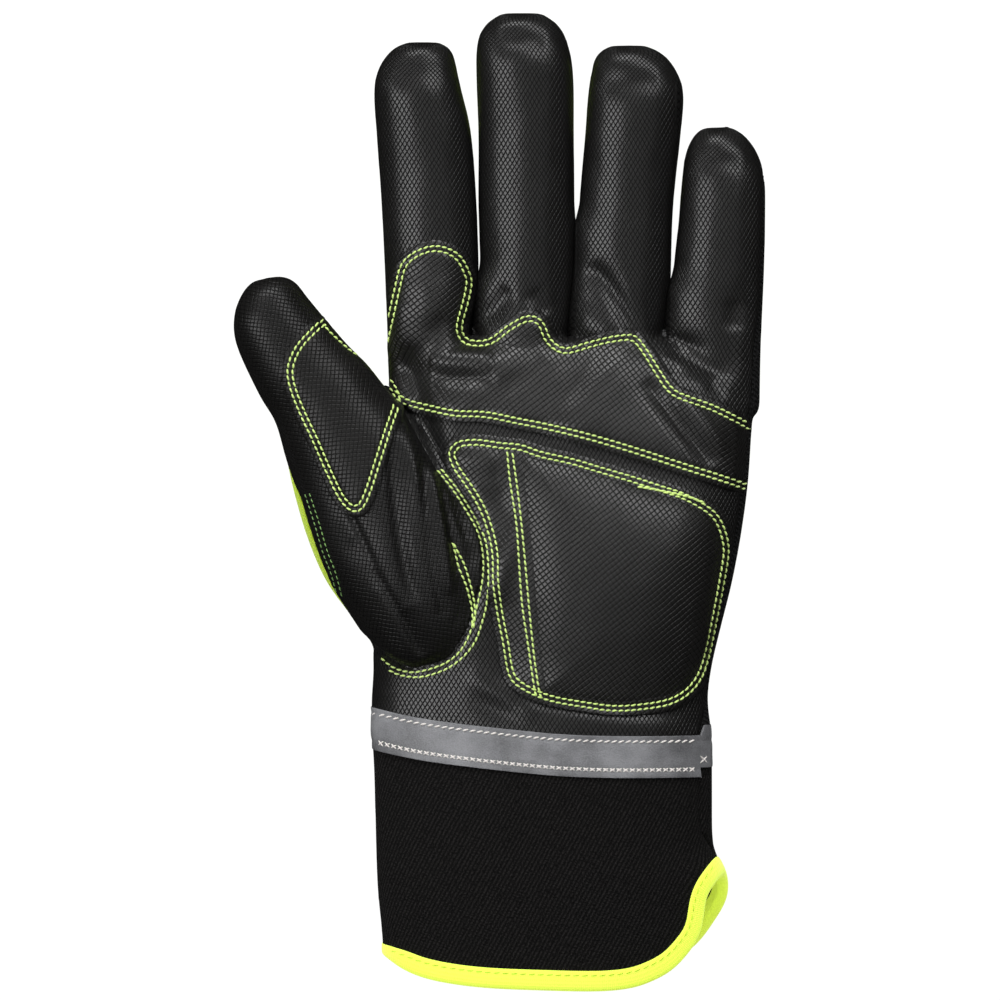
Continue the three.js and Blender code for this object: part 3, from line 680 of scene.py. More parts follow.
def remeshed(bm, voxel):
    """A bmesh merged into one even surface of small squares."""
    mesh = bpy.data.meshes.new("merged")
    bm.to_mesh(mesh)
    bm.free()
    merged = bpy.data.objects.new("merged", mesh)
    bpy.context.scene.collection.objects.link(merged)
    remesh = merged.modifiers.new("voxels", "REMESH")
    remesh.mode = "VOXEL"
    remesh.voxel_size = voxel
    depsgraph = bpy.context.evaluated_depsgraph_get()
    surface = bmesh.new()
    surface.from_object(merged, depsgraph)
    bpy.data.objects.remove(merged)
    bpy.data.meshes.remove(mesh)
    return surface


def pressed_together(points):
    """Widens neighbouring fingers until they touch, from the palm up to where they part."""
    x, y, z = points.T
    moved = x.copy()
    aside = CONTACT_ASIDE + CONTACT_DRIFT * (1 - smoothstep(y, 184, 212))
    for first, (second, end) in TOUCHING.items():
        left, right = FINGERS[first], FINGERS[second]
        from_left, from_right = at(left, "x", y), at(right, "x", y)
        border = (from_left + at(left, "half", y) + from_right - at(right, "half", y)) / 2
        middle = border + CONTACT_LEAN * (z - FINGER_MIDDLE) - aside
        share = smoothstep(y, 182, 188) * (1 - smoothstep(y, end - 2, end + 8))
        left_half = (x > from_left) & (x < border)
        right_half = (x < from_right) & (x >= border)
        for centre, inside in ((from_left, left_half), (from_right, right_half)):
            reach = [
                np.max(np.abs(x - centre)[inside & (np.abs(y - row) < CONTACT_NEAR)])
                for row in CONTACT_ROWS
            ]
            wider = (np.abs(middle - centre) + OVERLAP) / np.interp(y, CONTACT_ROWS, reach)
            moved = np.where(inside, centre + (x - centre) * (1 + (wider - 1) * share), moved)
    return np.column_stack([moved, y, z])


def finer_creases(surface):
    """Halves the edges near the pleats of the thumb's base, so that they come out smooth."""
    pleats = {name: values[:FINE_CREASES] for name, values in CREASES.items()}
    pleats["height"] = np.ones(FINE_CREASES)
    x, y, _ = coordinates(surface).T
    near = (fold_height(pleats, x, y) > 0.05) & (normals(surface)[:, 2] > 0)
    chosen = [edge for edge in surface.edges if any(near[vert.index] for vert in edge.verts)]
    bmesh.ops.subdivide_edges(surface, edges=chosen, cuts=1, use_grid_fill=True)
    surface.verts.index_update()


@functools.cache
def skin():
    """The glove's outer surface with its folds, in the drawing's millimetres."""
    whole = bmesh.new()
    tubes = [(hand_points, HAND, 96, 110), (thumb_points, THUMB, 56, 70)]
    tubes += [(finger_points, rows, 48, 70) for rows in FINGERS.values()]
    for place, rows, sides, count in tubes:
        fine = resampled(rows, count)
        tube = wrapped(sides, count, lambda turn, row: place(turn, row, fine, -SKIN_INSET))
        part = bpy.data.meshes.new("tube")
        tube.to_mesh(part)
        tube.free()
        whole.from_mesh(part)
        bpy.data.meshes.remove(part)
    surface = remeshed(whole, VOXEL)
    for _ in range(sizes().smoothing):
        bmesh.ops.smooth_vert(
            surface, verts=surface.verts, factor=0.5,
            use_axis_x=True, use_axis_y=True, use_axis_z=True)
    move(surface, coordinates(surface) + normals(surface) * SKIN_INSET)
    move(surface, pressed_together(coordinates(surface)))
    finer_creases(surface)
    points = coordinates(surface)
    x, y, _ = points.T
    facing = np.clip(normals(surface)[:, 2], 0, 1) ** 0.7
    ripple = np.array([
        noise.noise(Vector((a / 16, b / 24, c / 16)))
        + 0.5 * noise.noise(Vector((a / 7, b / 9, c / 7)))
        for a, b, c in points
    ])
    lift = (fold_height(CREASES, x, y) + RIPPLE * ripple) * facing * smoothstep(y, 40, 70)
    move(surface, points + normals(surface) * lift[:, None])
    return surface


# Where the seams run: every field is zero on its seam

def seam_height(y):
    ys = np.concatenate([HAND["y"][:-2], CURL["y"][1:]])
    zs = np.concatenate([HAND["seam"][:-2], CURL["z"][1:]])
    return np.interp(y, ys, zs) - FINGER_SEAM_DROP * smoothstep(y, 180, 200)


def strip_share(points):
    """How much of its half width the strip between two fingers has at each point."""
    x, y, _ = points.T
    share = np.zeros(len(points))
    for first, second, end in STRIPS.values():
        between = (x > at(FINGERS[first], "x", y)) & (x < at(FINGERS[second], "x", y))
        width = smoothstep(end - y, 0, STRIP_TAPER) * smoothstep(y, 172, 178)
        share = np.where(between, width, share)
    return share


def right_edge(y):
    """How far the hand and its little finger reach to the right."""
    little = FINGERS["little"]
    return np.where(y > 180, at(little, "x", y) + at(little, "half", y), at(HAND, "right", y))


def side_rise(points):
    """On the little finger's side the seam runs higher, so that what lies below it shows from above."""
    x, y, _ = points.T
    cuff = SIDE_RISE * smoothstep(x, 0, 20) * smoothstep(y, 34, 46) * (1 - smoothstep(y, 70, 88))
    beside = smoothstep(x - right_edge(y), -10, -4)
    hand = STRIP_RISE * beside * smoothstep(y, 80, 96) * (1 - smoothstep(y, 226, 240))
    return cuff + hand


def front_field(points):
    y, z = points[:, 1], points[:, 2]
    return z - seam_height(y) - side_rise(points) - STRIP_ABOVE * strip_share(points)


def back_field(points):
    y, z = points[:, 1], points[:, 2]
    return z - seam_height(y) - side_rise(points) + STRIP_BELOW * strip_share(points)


def little_finger_border(y):
    """Halfway between the ring finger and the little finger."""
    return (at(FINGERS["ring"], "x", y) + at(FINGERS["little"], "x", y)) / 2


def side_strip_field(points):
    """Zero along the lower seam of the black strip, and otherwise just under the back's own seam."""
    x, y, _ = points.T
    beyond = x - little_finger_border(y)
    return back_field(points) + SIDE_STRIP * smoothstep(beyond, -1, 1) + 0.01


def cuff_field(points):
    return points[:, 1] - line_height(BAND_LINE, points[:, 0])


def gusset_field(points):
    return depth_in(GUSSET, points)


def thumb_field(points):
    """Positive on the thumb's palm side. Its seam climbs over the outer side and drops to the web."""
    x, y, z = points.T
    crest, outer, inner = at(THUMB, "x", y), at(THUMB_SEAM, "z", y), at(WEB_SEAM, "z", y)
    return z - outer + (outer - inner) * smoothstep(x, crest - 1, crest + 1)


def hem_field(points):
    """Positive on the cuff, zero along its hem and round its slit."""
    x, y, z = points.T
    farther = BACK_FARTHER * smoothstep(x, 34, 40) * (z < SLIT_HEIGHT)
    hem = depth_in(HEM + BEYOND, points - np.column_stack([farther, 0 * y, 0 * z]))
    upper = np.column_stack([SLIT["y"], SLIT_HEIGHT + SLIT["above"]])
    lower = np.column_stack([SLIT["y"], SLIT_HEIGHT - SLIT["below"]])[::-1]
    outline = smooth_line(np.vstack([[[SLIT_APEX, SLIT_HEIGHT]], upper, lower]))
    slit = np.full(len(points), FAR)
    near = (x > SLIT_FROM) & (y < SLIT_APEX + 12)
    slit[near] = -depth_inside(np.column_stack([y, z])[near], outline)
    slit = np.minimum(slit, FAR)
    return -HEM_CORNER * np.log(np.exp(-hem / HEM_CORNER) + np.exp(-slit / HEM_CORNER))


def above_seam(points):
    """Height over the side seams, less one millimetre."""
    return points[:, 2] - seam_height(points[:, 1]) - 1.0


def sewn_field(outline):
    """Positive inside a sewn piece's outline, on the palm side only."""
    def field(points):
        return np.minimum(depth_in(outline, points), above_seam(points))

    return field


def divider_field(points):
    """Positive on the thumb's side of the heel patch's divider rows."""
    line = smooth_line(DIVIDER, closed=False)
    return np.interp(points[:, 1], line[::-1, 1], line[::-1, 0]) - points[:, 0]


def pad_field(points):
    """Positive over the padding."""
    inside = depth_in(HEEL_PATCH, points) - PAD_MARGIN
    return np.minimum(np.minimum(inside, -divider_field(points)), above_seam(points))


# Cutting the surface

SNAP = 0.2              # a vertex this near a cut, as a share of its edge, is moved onto it


def cut(bm, field):
    """Adds a line of edges where a field is zero."""
    bm.verts.ensure_lookup_table()
    bm.verts.index_update()
    values = field(coordinates(bm))
    edges = np.array([(edge.verts[0].index, edge.verts[1].index) for edge in bm.edges])
    crossing = np.flatnonzero(values[edges[:, 0]] * values[edges[:, 1]] < 0)
    bm.edges.ensure_lookup_table()
    crossed = [bm.edges[i] for i in crossing]
    on_line = {}
    for edge in crossed:
        a, b = edge.verts
        share = values[a.index] / (values[a.index] - values[b.index])
        nearer = a if share < SNAP else b if share > 1 - SNAP else None
        if nearer is not None and nearer not in on_line:
            nearer.co = a.co.lerp(b.co, share)
            on_line[nearer] = share
    for edge in crossed:
        a, b = edge.verts
        if a in on_line or b in on_line:
            continue
        share = values[a.index] / (values[a.index] - values[b.index])
        _, vert = bmesh.utils.edge_split(edge, a, share)
        on_line[vert] = share
    bmesh.ops.connect_verts(bm, verts=list(on_line), check_degenerate=False)
    bm.verts.index_update()


class Sheet:
    """A surface as a mesh, with the centres of its faces, from which parts are copied."""

    def __init__(self, bm):
        self.mesh = bpy.data.meshes.new("sheet")
        bm.to_mesh(self.mesh)
        centres = np.empty(len(self.mesh.polygons) * 3, np.float32)
        self.mesh.polygons.foreach_get("center", centres)
        self.centres = centres.reshape(-1, 3).astype(float)

    def part(self, keep):
        """A new bmesh of the faces to keep."""
        bm = bmesh.new()
        bm.from_mesh(self.mesh)
        gone = [face for face, stays in zip(bm.faces, keep) if not stays]
        bmesh.ops.delete(bm, geom=gone, context="FACES")
        return bm


@functools.cache
def panels():
    """The surface with every seam cut into it and drawn in along it."""
    surface = skin().copy()
    for field in (
        gusset_field, cuff_field, front_field, back_field, side_strip_field, thumb_field, hem_field,
    ):
        cut(surface, field)
    sheet = Sheet(surface)
    points = coordinates(surface)
    on_cuff = cuff_field(points) < 0
    on_thumb = (gusset_field(points) > 0) & ~on_cuff
    on_hand = ~on_thumb & ~on_cuff
    # Each seam's field, where it runs, and how deep and how wide it draws the surface in
    seams = [
        (gusset_field, ~on_cuff, 1.0, 1.5), (thumb_field, on_thumb, 0.8, 1.3),
        (front_field, on_hand, 0.5, 1.2), (back_field, on_hand, 0.4, 1.2),
        (front_field, on_cuff, 0.5, 1.0),
    ]
    drawn_in = np.zeros(len(points))
    for field, where, deep, wide in seams:
        off = field(points)
        drawn_in = np.maximum(drawn_in, np.where(where, deep * np.exp(-((off / wide) ** 2)), 0))
    drawn = points - normals(surface) * drawn_in[:, None]
    sheet.mesh.vertices.foreach_set("co", drawn.astype(np.float32).ravel())
    surface.free()
    return sheet


@functools.cache
def regions():
    """The side of every seam on which each of the panels' faces lies."""
    centres = panels().centres
    cuff = cuff_field(centres) < 0
    thumb = (gusset_field(centres) > 0) & ~cuff
    return {
        "hand": ~thumb & ~cuff, "thumb": thumb, "cuff": cuff & (hem_field(centres) > 0),
        "front": front_field(centres) > 0, "back": back_field(centres) < 0,
        "below_strip": side_strip_field(centres) < 0, "thumb_front": thumb_field(centres) > 0,
    }


@functools.cache
def bare_skin():
    return Sheet(skin())


# Finishing a piece

def arc_share(turn, power=2.35, aspect=0.45):
    """Length of a squared ellipse from its crest to a turn, as a share of its half width."""
    steps = np.linspace(0, math.pi, 400)
    x, z = squared(np.sin(steps), power), aspect * squared(np.cos(steps), power)
    lengths = np.concatenate([[0], np.cumsum(np.hypot(np.diff(x), np.diff(z)))])
    return np.sign(turn) * np.interp(np.abs(turn), steps, lengths)


def hand_grain(points):
    """Straight over the palm and the back, and following the surface down the sides."""
    x, y, z = points.T
    length, y = y, np.minimum(y, 172)
    middle = (at(HAND, "left", y) + at(HAND, "right", y)) / 2
    half = (at(HAND, "right", y) - at(HAND, "left", y)) / 2
    seam = at(HAND, "seam", y)
    rise = np.where(z > seam, at(HAND, "top", y) - seam, seam + BACK_SAG)
    share = np.clip(np.abs(x - middle) / half, 0, 1.1) ** 1.15
    level = np.sqrt(np.maximum(1 - share ** 2, 0))
    up = np.minimum(np.abs((z - seam) / rise), 1) ** 1.15
    up = (level + (up - level) * smoothstep(share, 0.75, 0.95)) * np.sign(z - seam)
    turn = np.arctan2(share * np.sign(x - middle), up)
    return np.column_stack([middle + half * arc_share(turn), length])


def finger_grain(points, rows):
    """Along a finger, and round it from its crest, stretched towards its tip."""
    x, y, z = points.T
    centre = at(rows, "x", y)
    radius = (at(rows, "half", y) + at(rows, "depth", y)) / 2
    turn = np.arctan2(x - centre, z - at(CURL, "z", y))
    tip = rows["y"][-1]
    length = y + 6 * smoothstep(y, tip - 12, tip)
    return np.column_stack([centre + np.maximum(radius, 9) * turn, length])


def thumb_grain(points):
    """Straight over the thumb's front, and following the surface down its sides."""
    along, across = np.array([-0.5, 0.866]), np.array([0.866, 0.5])
    flat = points[:, :2]
    crest = np.column_stack([THUMB["x"], THUMB["y"]])
    order = np.argsort(crest @ along)
    stations = (crest @ along)[order]
    centre = np.interp(flat @ along, stations, (crest @ across)[order])
    top = np.interp(flat @ along, stations, (THUMB["z"] + 0.6 * THUMB["depth"])[order])
    drop = np.maximum(top - points[:, 2], 0) * np.sign(flat @ across - centre)
    return flat + across * drop[:, None]


def grain(points):
    """Where each point lies on its leather or cloth, in millimetres across and along."""
    x, y, _ = points.T
    uv = hand_grain(points)
    centres = {name: at(rows, "x", y) for name, rows in FINGERS.items()}
    nearest = np.argmin([np.abs(x - centre) for centre in centres.values()], axis=0)
    weight = smoothstep(y, 178, 196)[:, None]
    for i, rows in enumerate(FINGERS.values()):
        chosen = (nearest == i)[:, None]
        uv = np.where(chosen, uv * (1 - weight) + finger_grain(points, rows) * weight, uv)
    on_thumb = (gusset_field(points) > -0.5) & (cuff_field(points) > 0)
    return np.where(on_thumb[:, None], thumb_grain(points), uv)


def added(mesh, name, materials, replaces=()):
    """Puts a mesh in the scene as a piece of the glove, on its body, with its finish."""
    mesh.shade_smooth()
    for material in materials:
        mesh.materials.append(material)
    piece = bpy.data.objects.new(name, mesh)
    bpy.context.scene.collection.objects.link(piece)
    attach(piece, "root")
    if replaces:
        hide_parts(*replaces)
    return piece


def finished(bm, name, materials, replaces, uv=grain):
    """Makes a bmesh in the drawing's millimetres a piece of the glove, in the frame's metres."""
    bm.normal_update()
    points = coordinates(bm)
    mesh = bpy.data.meshes.new(name)
    bm.to_mesh(mesh)
    bm.free()
    spots = uv(points)
    corners = np.zeros(len(mesh.loops), int)
    mesh.loops.foreach_get("vertex_index", corners)
    layer = mesh.uv_layers.new(name="grain")
    layer.data.foreach_set("uv", spots[corners].astype(np.float32).ravel())
    mesh.transform(TO_FRAME)
    return added(mesh, name, materials, replaces)


def thickened(piece, thickness, outwards=-1, inner_material=0):
    """Gives a surface its wall: inwards from the surface, or outwards where outwards is 1."""
    wall = piece.modifiers.new("wall", "SOLIDIFY")
    wall.thickness = thickness
    wall.offset = outwards
    wall.material_offset = inner_material


def rounded(piece, width):
    """Rounds the cut edges of a sewn layer."""
    edge = piece.modifiers.new("edge", "BEVEL")
    edge.width = width
    edge.segments = 2
    edge.limit_method = "ANGLE"
    edge.angle_limit = math.radians(50)


# Materials

class Nodes:
    """A material's node tree, with short ways to add and link its nodes."""

    def __init__(self, name):
        self.material = bpy.data.materials.new(name)
        self.material.use_nodes = True
        self.tree = self.material.node_tree
        self.shader = self.tree.nodes["Principled BSDF"]

    def add(self, kind, **settings):
        node = self.tree.nodes.new(kind)
        for key, value in settings.items():
            setattr(node, key, value)
        return node

    def link(self, source, target):
        self.tree.links.new(source, target)

    def math(self, operation, *values, clamp=False):
        node = self.add("ShaderNodeMath", operation=operation, use_clamp=clamp)
        for socket, value in zip(node.inputs, values):
            if isinstance(value, (int, float)):
                socket.default_value = value
            else:
                self.link(value, socket)
        return node.outputs[0]

    def noise(self, place, scale, detail=2.0):
        node = self.add("ShaderNodeTexNoise")
        node.inputs["Scale"].default_value = scale
        node.inputs["Detail"].default_value = detail
        self.link(place, node.inputs["Vector"])
        return node.outputs["Fac"]

    def place(self):
        """Object coordinates, in metres."""
        return self.add("ShaderNodeTexCoord").outputs["Object"]

    def grain(self):
        """Millimetres across and along the cloth, from the piece's own UV map."""
        node = self.add("ShaderNodeUVMap", uv_map="grain")
        split = self.add("ShaderNodeSeparateXYZ")
        self.link(node.outputs["UV"], split.inputs[0])
        return split.outputs["X"], split.outputs["Y"]

    def wave(self, value, pitch):
        """From 0 to 1 and back over each pitch of a value."""
        turned = self.math("MULTIPLY", value, 2 * math.pi / pitch)
        return self.math("MULTIPLY_ADD", self.math("SINE", turned), 0.5, 0.5)

    def mix(self, share, first, second):
        node = self.add("ShaderNodeMix", data_type="RGBA")
        self.link(share, node.inputs["Factor"])
        for socket, value in ((node.inputs["A"], first), (node.inputs["B"], second)):
            if isinstance(value, bpy.types.NodeSocket):
                self.link(value, socket)
            else:
                socket.default_value = (*value, 1)
        return node.outputs["Result"]

    def span(self, value, low, high):
        """A value from 0 to 1 spread from low to high."""
        node = self.add("ShaderNodeMapRange")
        node.inputs["To Min"].default_value = low
        node.inputs["To Max"].default_value = high
        self.link(value, node.inputs["Value"])
        return node.outputs["Result"]

    def bump(self, height, distance):
        """Bends the shader's normal by a height from 0 to 1, at most so many metres deep."""
        node = self.add("ShaderNodeBump")
        node.inputs["Distance"].default_value = distance
        self.link(height, node.inputs["Height"])
        self.link(node.outputs["Normal"], self.shader.inputs["Normal"])

    def painted_glow(self, colour_value, strength):
        """Painted glow: emission that makes the bright dyes look more brightly lit than the lamps make
        them, standing in for their faint fluorescence under white light.
        """
        self.set(Emission_Color=(*colour_value, 1), Emission_Strength=strength)

    def set(self, **values):
        for name, value in values.items():
            self.shader.inputs[name.replace("_", " ")].default_value = value


def shade(colour_value, factor):
    return tuple(min(1.0, channel * factor) for channel in colour_value)


def net(nodes, pitch, grooves):
    """Height of an embossed net: small cushions between grooves, each with an angle and a depth."""
    across, along = nodes.grain()
    sway = nodes.math("MULTIPLY_ADD", nodes.noise(nodes.place(), 200, 1), 0.5, -0.25)
    height = 1.0
    for angle, depth in grooves:
        turn = math.radians(angle)
        off = nodes.math("MULTIPLY_ADD", across, -math.sin(turn), sway)
        off = nodes.math("MULTIPLY_ADD", along, math.cos(turn), off)
        line = nodes.math("ABSOLUTE", nodes.math("SINE", nodes.math("MULTIPLY", off, math.pi / pitch)))
        cushion = nodes.add("ShaderNodeMapRange", interpolation_type="SMOOTHSTEP")
        cushion.inputs["From Max"].default_value = 0.58
        cushion.inputs["To Min"].default_value = 1 - depth
        nodes.link(line, cushion.inputs["Value"])
        height = nodes.math("MULTIPLY", cushion.outputs["Result"], height)
    return height


@functools.cache
def leather_material(name, shade_name, grooves, pitch_factor=1.0, gleam=1.0):
    """Black synthetic leather with an embossed net: painted shade darkens its grooves, and its heights
    are a little paler.
    """
    nodes = Nodes(name)
    base = getattr(colours(), shade_name)
    height = net(nodes, sizes().grain / MM * pitch_factor, grooves)
    place = nodes.place()
    blotches = nodes.noise(place, 45)
    pores = nodes.noise(place, 1500, 3)
    # Painted shade: the base colour is darkest in the net's grooves and paler on its heights, varied by
    # random blotches
    groove_shade_and_blotches = nodes.math("MULTIPLY", height, nodes.span(blotches, 0.7, 1.1))
    nodes.link(nodes.mix(groove_shade_and_blotches, shade(base, 0.1), shade(base, 1.7)), nodes.shader.inputs["Base Color"])
    rough = nodes.math("ADD", nodes.span(height, 0.5, 0.32), nodes.span(pores, -0.06, 0.06))
    nodes.link(rough, nodes.shader.inputs["Roughness"])
    relief = nodes.math("MULTIPLY_ADD", pores, 0.25, height)
    nodes.bump(relief, 0.00013)
    # The grooves gleam less than the heights; the even level stands in where only one number fits
    nodes.set(Specular_IOR_Level=0.38 * gleam)
    gleams = nodes.span(height, 0.14 * gleam, 0.5 * gleam)
    nodes.link(gleams, nodes.shader.inputs["Specular IOR Level"])
    return nodes.material


def palm_leather():
    return leather_material("embossed leather", "leather", ((57, 0.9), (-57, 0.9)))


def patch_leather():
    return leather_material("embossed patch leather", "patch", ((38, 0.85), (-54, 0.65)), 1.08)


def thumb_leather():
    return leather_material("embossed thumb leather", "leather", ((-8, 0.65), (82, 0.6)), 0.95, 0.5)


def thumb_patch_leather():
    return leather_material("embossed thumb patch leather", "patch", ((2, 0.5), (86, 0.6)), 1.0, 0.42)


@functools.cache
def knit_material():
    """Bright knitted fabric: rows of small loops with a soft sheen."""
    nodes = Nodes("bright knit")
    base = colours().fabric
    across, along = nodes.grain()
    wave = nodes.wave(across, 1.1)
    sway = nodes.math("MULTIPLY_ADD", wave, 0.5, along)
    loops = nodes.math("MULTIPLY", wave, nodes.wave(sway, 0.9))
    fuzz = nodes.noise(nodes.place(), 900, 3)
    height = nodes.math("MULTIPLY_ADD", fuzz, 0.3, loops)
    nodes.link(nodes.mix(loops, shade(base, 0.72), base), nodes.shader.inputs["Base Color"])
    nodes.bump(height, 0.0003)
    # Painted glow: a faint emission brightens the knit
    nodes.painted_glow(base, 0.04)
    nodes.set(Roughness=0.8, Sheen_Weight=0.3, Sheen_Roughness=0.5)
    return nodes.material


@functools.cache
def stretch_material():
    """Black ribbed stretch fabric."""
    nodes = Nodes("ribbed stretch")
    base = colours().stretch
    across, along = nodes.grain()
    ribs = nodes.wave(nodes.math("ADD", along, nodes.math("MULTIPLY", across, 0.35)), 1.4)
    fuzz = nodes.noise(nodes.place(), 1200, 3)
    nodes.link(nodes.mix(ribs, shade(base, 0.5), shade(base, 2.2)), nodes.shader.inputs["Base Color"])
    nodes.bump(nodes.math("MULTIPLY_ADD", fuzz, 0.4, ribs), 0.0004)
    nodes.set(Roughness=0.85, Specular_IOR_Level=0.2)
    return nodes.material


@functools.cache
def softshell_material():
    """Matt black twill: fine diagonal ribs with flecks of paler thread."""
    nodes = Nodes("twill softshell")
    base = colours().softshell
    across, along = nodes.grain()
    diagonal = nodes.math("SUBTRACT", across, nodes.math("MULTIPLY", along, 0.55))
    ribs = nodes.wave(diagonal, 1.3)
    weft = nodes.wave(nodes.math("ADD", along, nodes.math("MULTIPLY", across, 0.3)), 0.9)
    place = nodes.place()
    flecks = nodes.span(nodes.noise(place, 2400, 2), -1.5, 2.8)
    raised = nodes.math("MULTIPLY", ribs, nodes.span(weft, 0.6, 1.0))
    tone = nodes.math("MULTIPLY", nodes.span(raised, 0.1, 1.1), flecks, clamp=True)
    nodes.link(nodes.mix(tone, shade(base, 0.25), shade(base, 4.2)), nodes.shader.inputs["Base Color"])
    nodes.bump(nodes.math("MULTIPLY_ADD", flecks, 0.5, raised), 0.00015)
    nodes.set(Roughness=0.9, Specular_IOR_Level=0.12)
    return nodes.material


@functools.cache
def tape_material():
    """Grey reflective tape: a fine mottle of glass beads, cloudy where it has been bent."""
    nodes = Nodes("reflective tape")
    base = colours().tape
    place = nodes.place()
    clouds = nodes.noise(place, 90, 4)
    beads = nodes.noise(place, 2600, 2)
    tone = nodes.math("MULTIPLY_ADD", beads, 0.9, nodes.span(clouds, -1.0, 1.1), clamp=True)
    nodes.link(nodes.mix(tone, shade(base, 0.45), shade(base, 1.4)), nodes.shader.inputs["Base Color"])
    nodes.link(nodes.span(clouds, 0.38, 0.62), nodes.shader.inputs["Roughness"])
    nodes.bump(nodes.math("MULTIPLY_ADD", clouds, 1.6, beads), 0.00012)
    nodes.set(Metallic=0.15)
    return nodes.material


@functools.cache
def binding_material():
    """Bright woven tape, ribbed across its length."""
    nodes = Nodes("bright binding")
    base = colours().binding
    across, along = nodes.grain()
    ribs = nodes.wave(across, 0.55)
    weave = nodes.wave(along, 0.7)
    fuzz = nodes.noise(nodes.place(), 1100, 3)
    height = nodes.math("MULTIPLY_ADD", weave, 0.5, ribs)
    nodes.link(nodes.mix(nodes.math("MULTIPLY", ribs, fuzz), shade(base, 0.92), base),
               nodes.shader.inputs["Base Color"])
    nodes.bump(nodes.math("MULTIPLY_ADD", fuzz, 0.5, height), 0.00007)
    # Painted glow: emission makes the binding look brighter than its lighting gives
    nodes.painted_glow(base, 0.5)
    nodes.set(Roughness=0.72, Sheen_Weight=0.2)
    return nodes.material


@functools.cache
def thread_material(name, shade_name, sunk=0.16):
    """Twisted sewing thread, with painted shade where each stitch dips into the cloth at its ends."""
    nodes = Nodes(name)
    base = getattr(colours(), shade_name)
    along, _ = nodes.grain()
    twist = nodes.noise(nodes.place(), 2200, 1)
    hole_shade_share = nodes.math("POWER", nodes.math("ABSOLUTE", along), 5.0, clamp=True)
    lit = nodes.mix(twist, shade(base, 0.8), shade(base, 1.06))
    # Painted shade: the thread darkens to this colour at both ends of each stitch, where it dips in;
    # sunk sets how dark
    hole_shade = (base[0] * sunk * 0.5, base[1] * sunk, base[2] * sunk * 0.5)
    nodes.link(nodes.mix(hole_shade_share, lit, hole_shade), nodes.shader.inputs["Base Color"])
    nodes.bump(twist, 0.0001)
    # Painted glow: a faint emission brightens the thread
    nodes.painted_glow(base, 0.03)
    nodes.set(Roughness=0.6, Sheen_Weight=0.2)
    return nodes.material


@functools.cache
def lining_material():
    """Dark brushed lining on the inner side of the walls."""
    nodes = Nodes("brushed lining")
    base = colours().lining
    pile = nodes.noise(nodes.place(), 900, 4)
    nodes.link(nodes.mix(pile, shade(base, 0.5), shade(base, 1.8)), nodes.shader.inputs["Base Color"])
    nodes.bump(pile, 0.0006)
    nodes.set(Roughness=0.95, Sheen_Weight=0.2)
    return nodes.material


# Pieces

def add_panel(name, keep, material, wall, replaces):
    """One panel of the glove's shell, with its lining on the inner side."""
    piece = finished(panels().part(keep), name, [material, lining_material()], replaces)
    thickened(piece, wall, inner_material=1)


def add_layer(name, outline_field, thickness, lift, material, replaces):
    """A sewn-on layer: the surface inside a field, raised and given its own thickness."""
    near = bare_skin().part(outline_field(bare_skin().centres) > -3)
    bmesh.ops.subdivide_edges(near, edges=near.edges, cuts=1, use_grid_fill=True)
    cut(near, outline_field)
    layer = Sheet(near)
    part = layer.part(outline_field(layer.centres) > 0)
    near.free()
    points, facing = coordinates(part), normals(part)
    sunk = thickness * (1 - smoothstep(facing[:, 2], 0.05, 0.55))
    move(part, points + facing * (lift(points) - sunk)[:, None])
    piece = finished(part, name, [material], replaces)
    thickened(piece, thickness * MM, outwards=1)
    rounded(piece, EDGE_ROUNDING * MM)
    return piece


def row_lines(outline, margins, closed=True):
    """Stitch rows at some distances to the left of an edge, along which its piece lies on the left."""
    line = smooth_line(outline, closed)
    if closed:
        line = np.vstack([line, line[:1]])
    ahead = np.gradient(line, axis=0)
    if closed:
        ahead[0] = ahead[-1] = line[1] - line[-2]
    left = np.column_stack([-ahead[:, 1], ahead[:, 0]])
    left /= np.maximum(np.hypot(*left.T), 1e-9)[:, None]
    return [line + left * margin for margin in margins]


def pressed(points, depth, margins, deep=0.35, wide=0.7):
    """How far stitch rows press a layer down, with small puckers along them."""
    pucker = np.array([noise.noise(Vector((x / PUCKER, y / PUCKER, 3.0))) for x, y, _ in points])
    total = np.zeros(len(points))
    for margin in margins:
        total += np.exp(-(((depth - margin) / wide) ** 2))
    return -deep * np.minimum(total, 1.2) * (1 + 0.5 * pucker)


def patch_lift(outline):
    """How far a sewn patch stands off the skin."""
    def lift(points):
        inside = depth_in(outline, points)
        edge = -EDGE_ROLL * (1 - smoothstep(inside, 0, 0.9))
        into_seam = -SEAM_SINK * (1 - smoothstep(front_field(points), 1, 6))
        return LAYER_LIFT + edge + into_seam + pressed(points, inside, ROWS)

    return lift


# Stitches

def visible_top(names):
    """A search tree over finished pieces, for finding their surface."""
    depsgraph = bpy.context.evaluated_depsgraph_get()
    whole = bmesh.new()
    for name in names:
        mesh = bpy.data.meshes.new_from_object(bpy.data.objects[name].evaluated_get(depsgraph))
        whole.from_mesh(mesh)
        bpy.data.meshes.remove(mesh)
    tree = BVHTree.FromBMesh(whole)
    whole.free()
    return tree


def evenly(line, pitch):
    """Points along a line, one pitch apart."""
    steps = np.hypot(*np.diff(line, axis=0).T)
    travelled = np.concatenate([[0], np.cumsum(steps)])
    count = max(int(travelled[-1] / pitch), 1)
    spots = np.arange(count + 1) * travelled[-1] / count
    return np.column_stack([np.interp(spots, travelled, line[:, i]) for i in range(line.shape[1])])


def landed(tree, line):
    """A line seen from above, dropped on the surface: points and normals in the frame's metres."""
    result = []
    for x, y in line:
        above = TO_FRAME @ Vector((x, y, DROP_HEIGHT))
        point, normal, _, _ = tree.ray_cast(above, Vector((0, 0, -1)))
        steep = point is None or normal.z < STEEPEST
        result.append(None if steep else (point, normal))
    return result


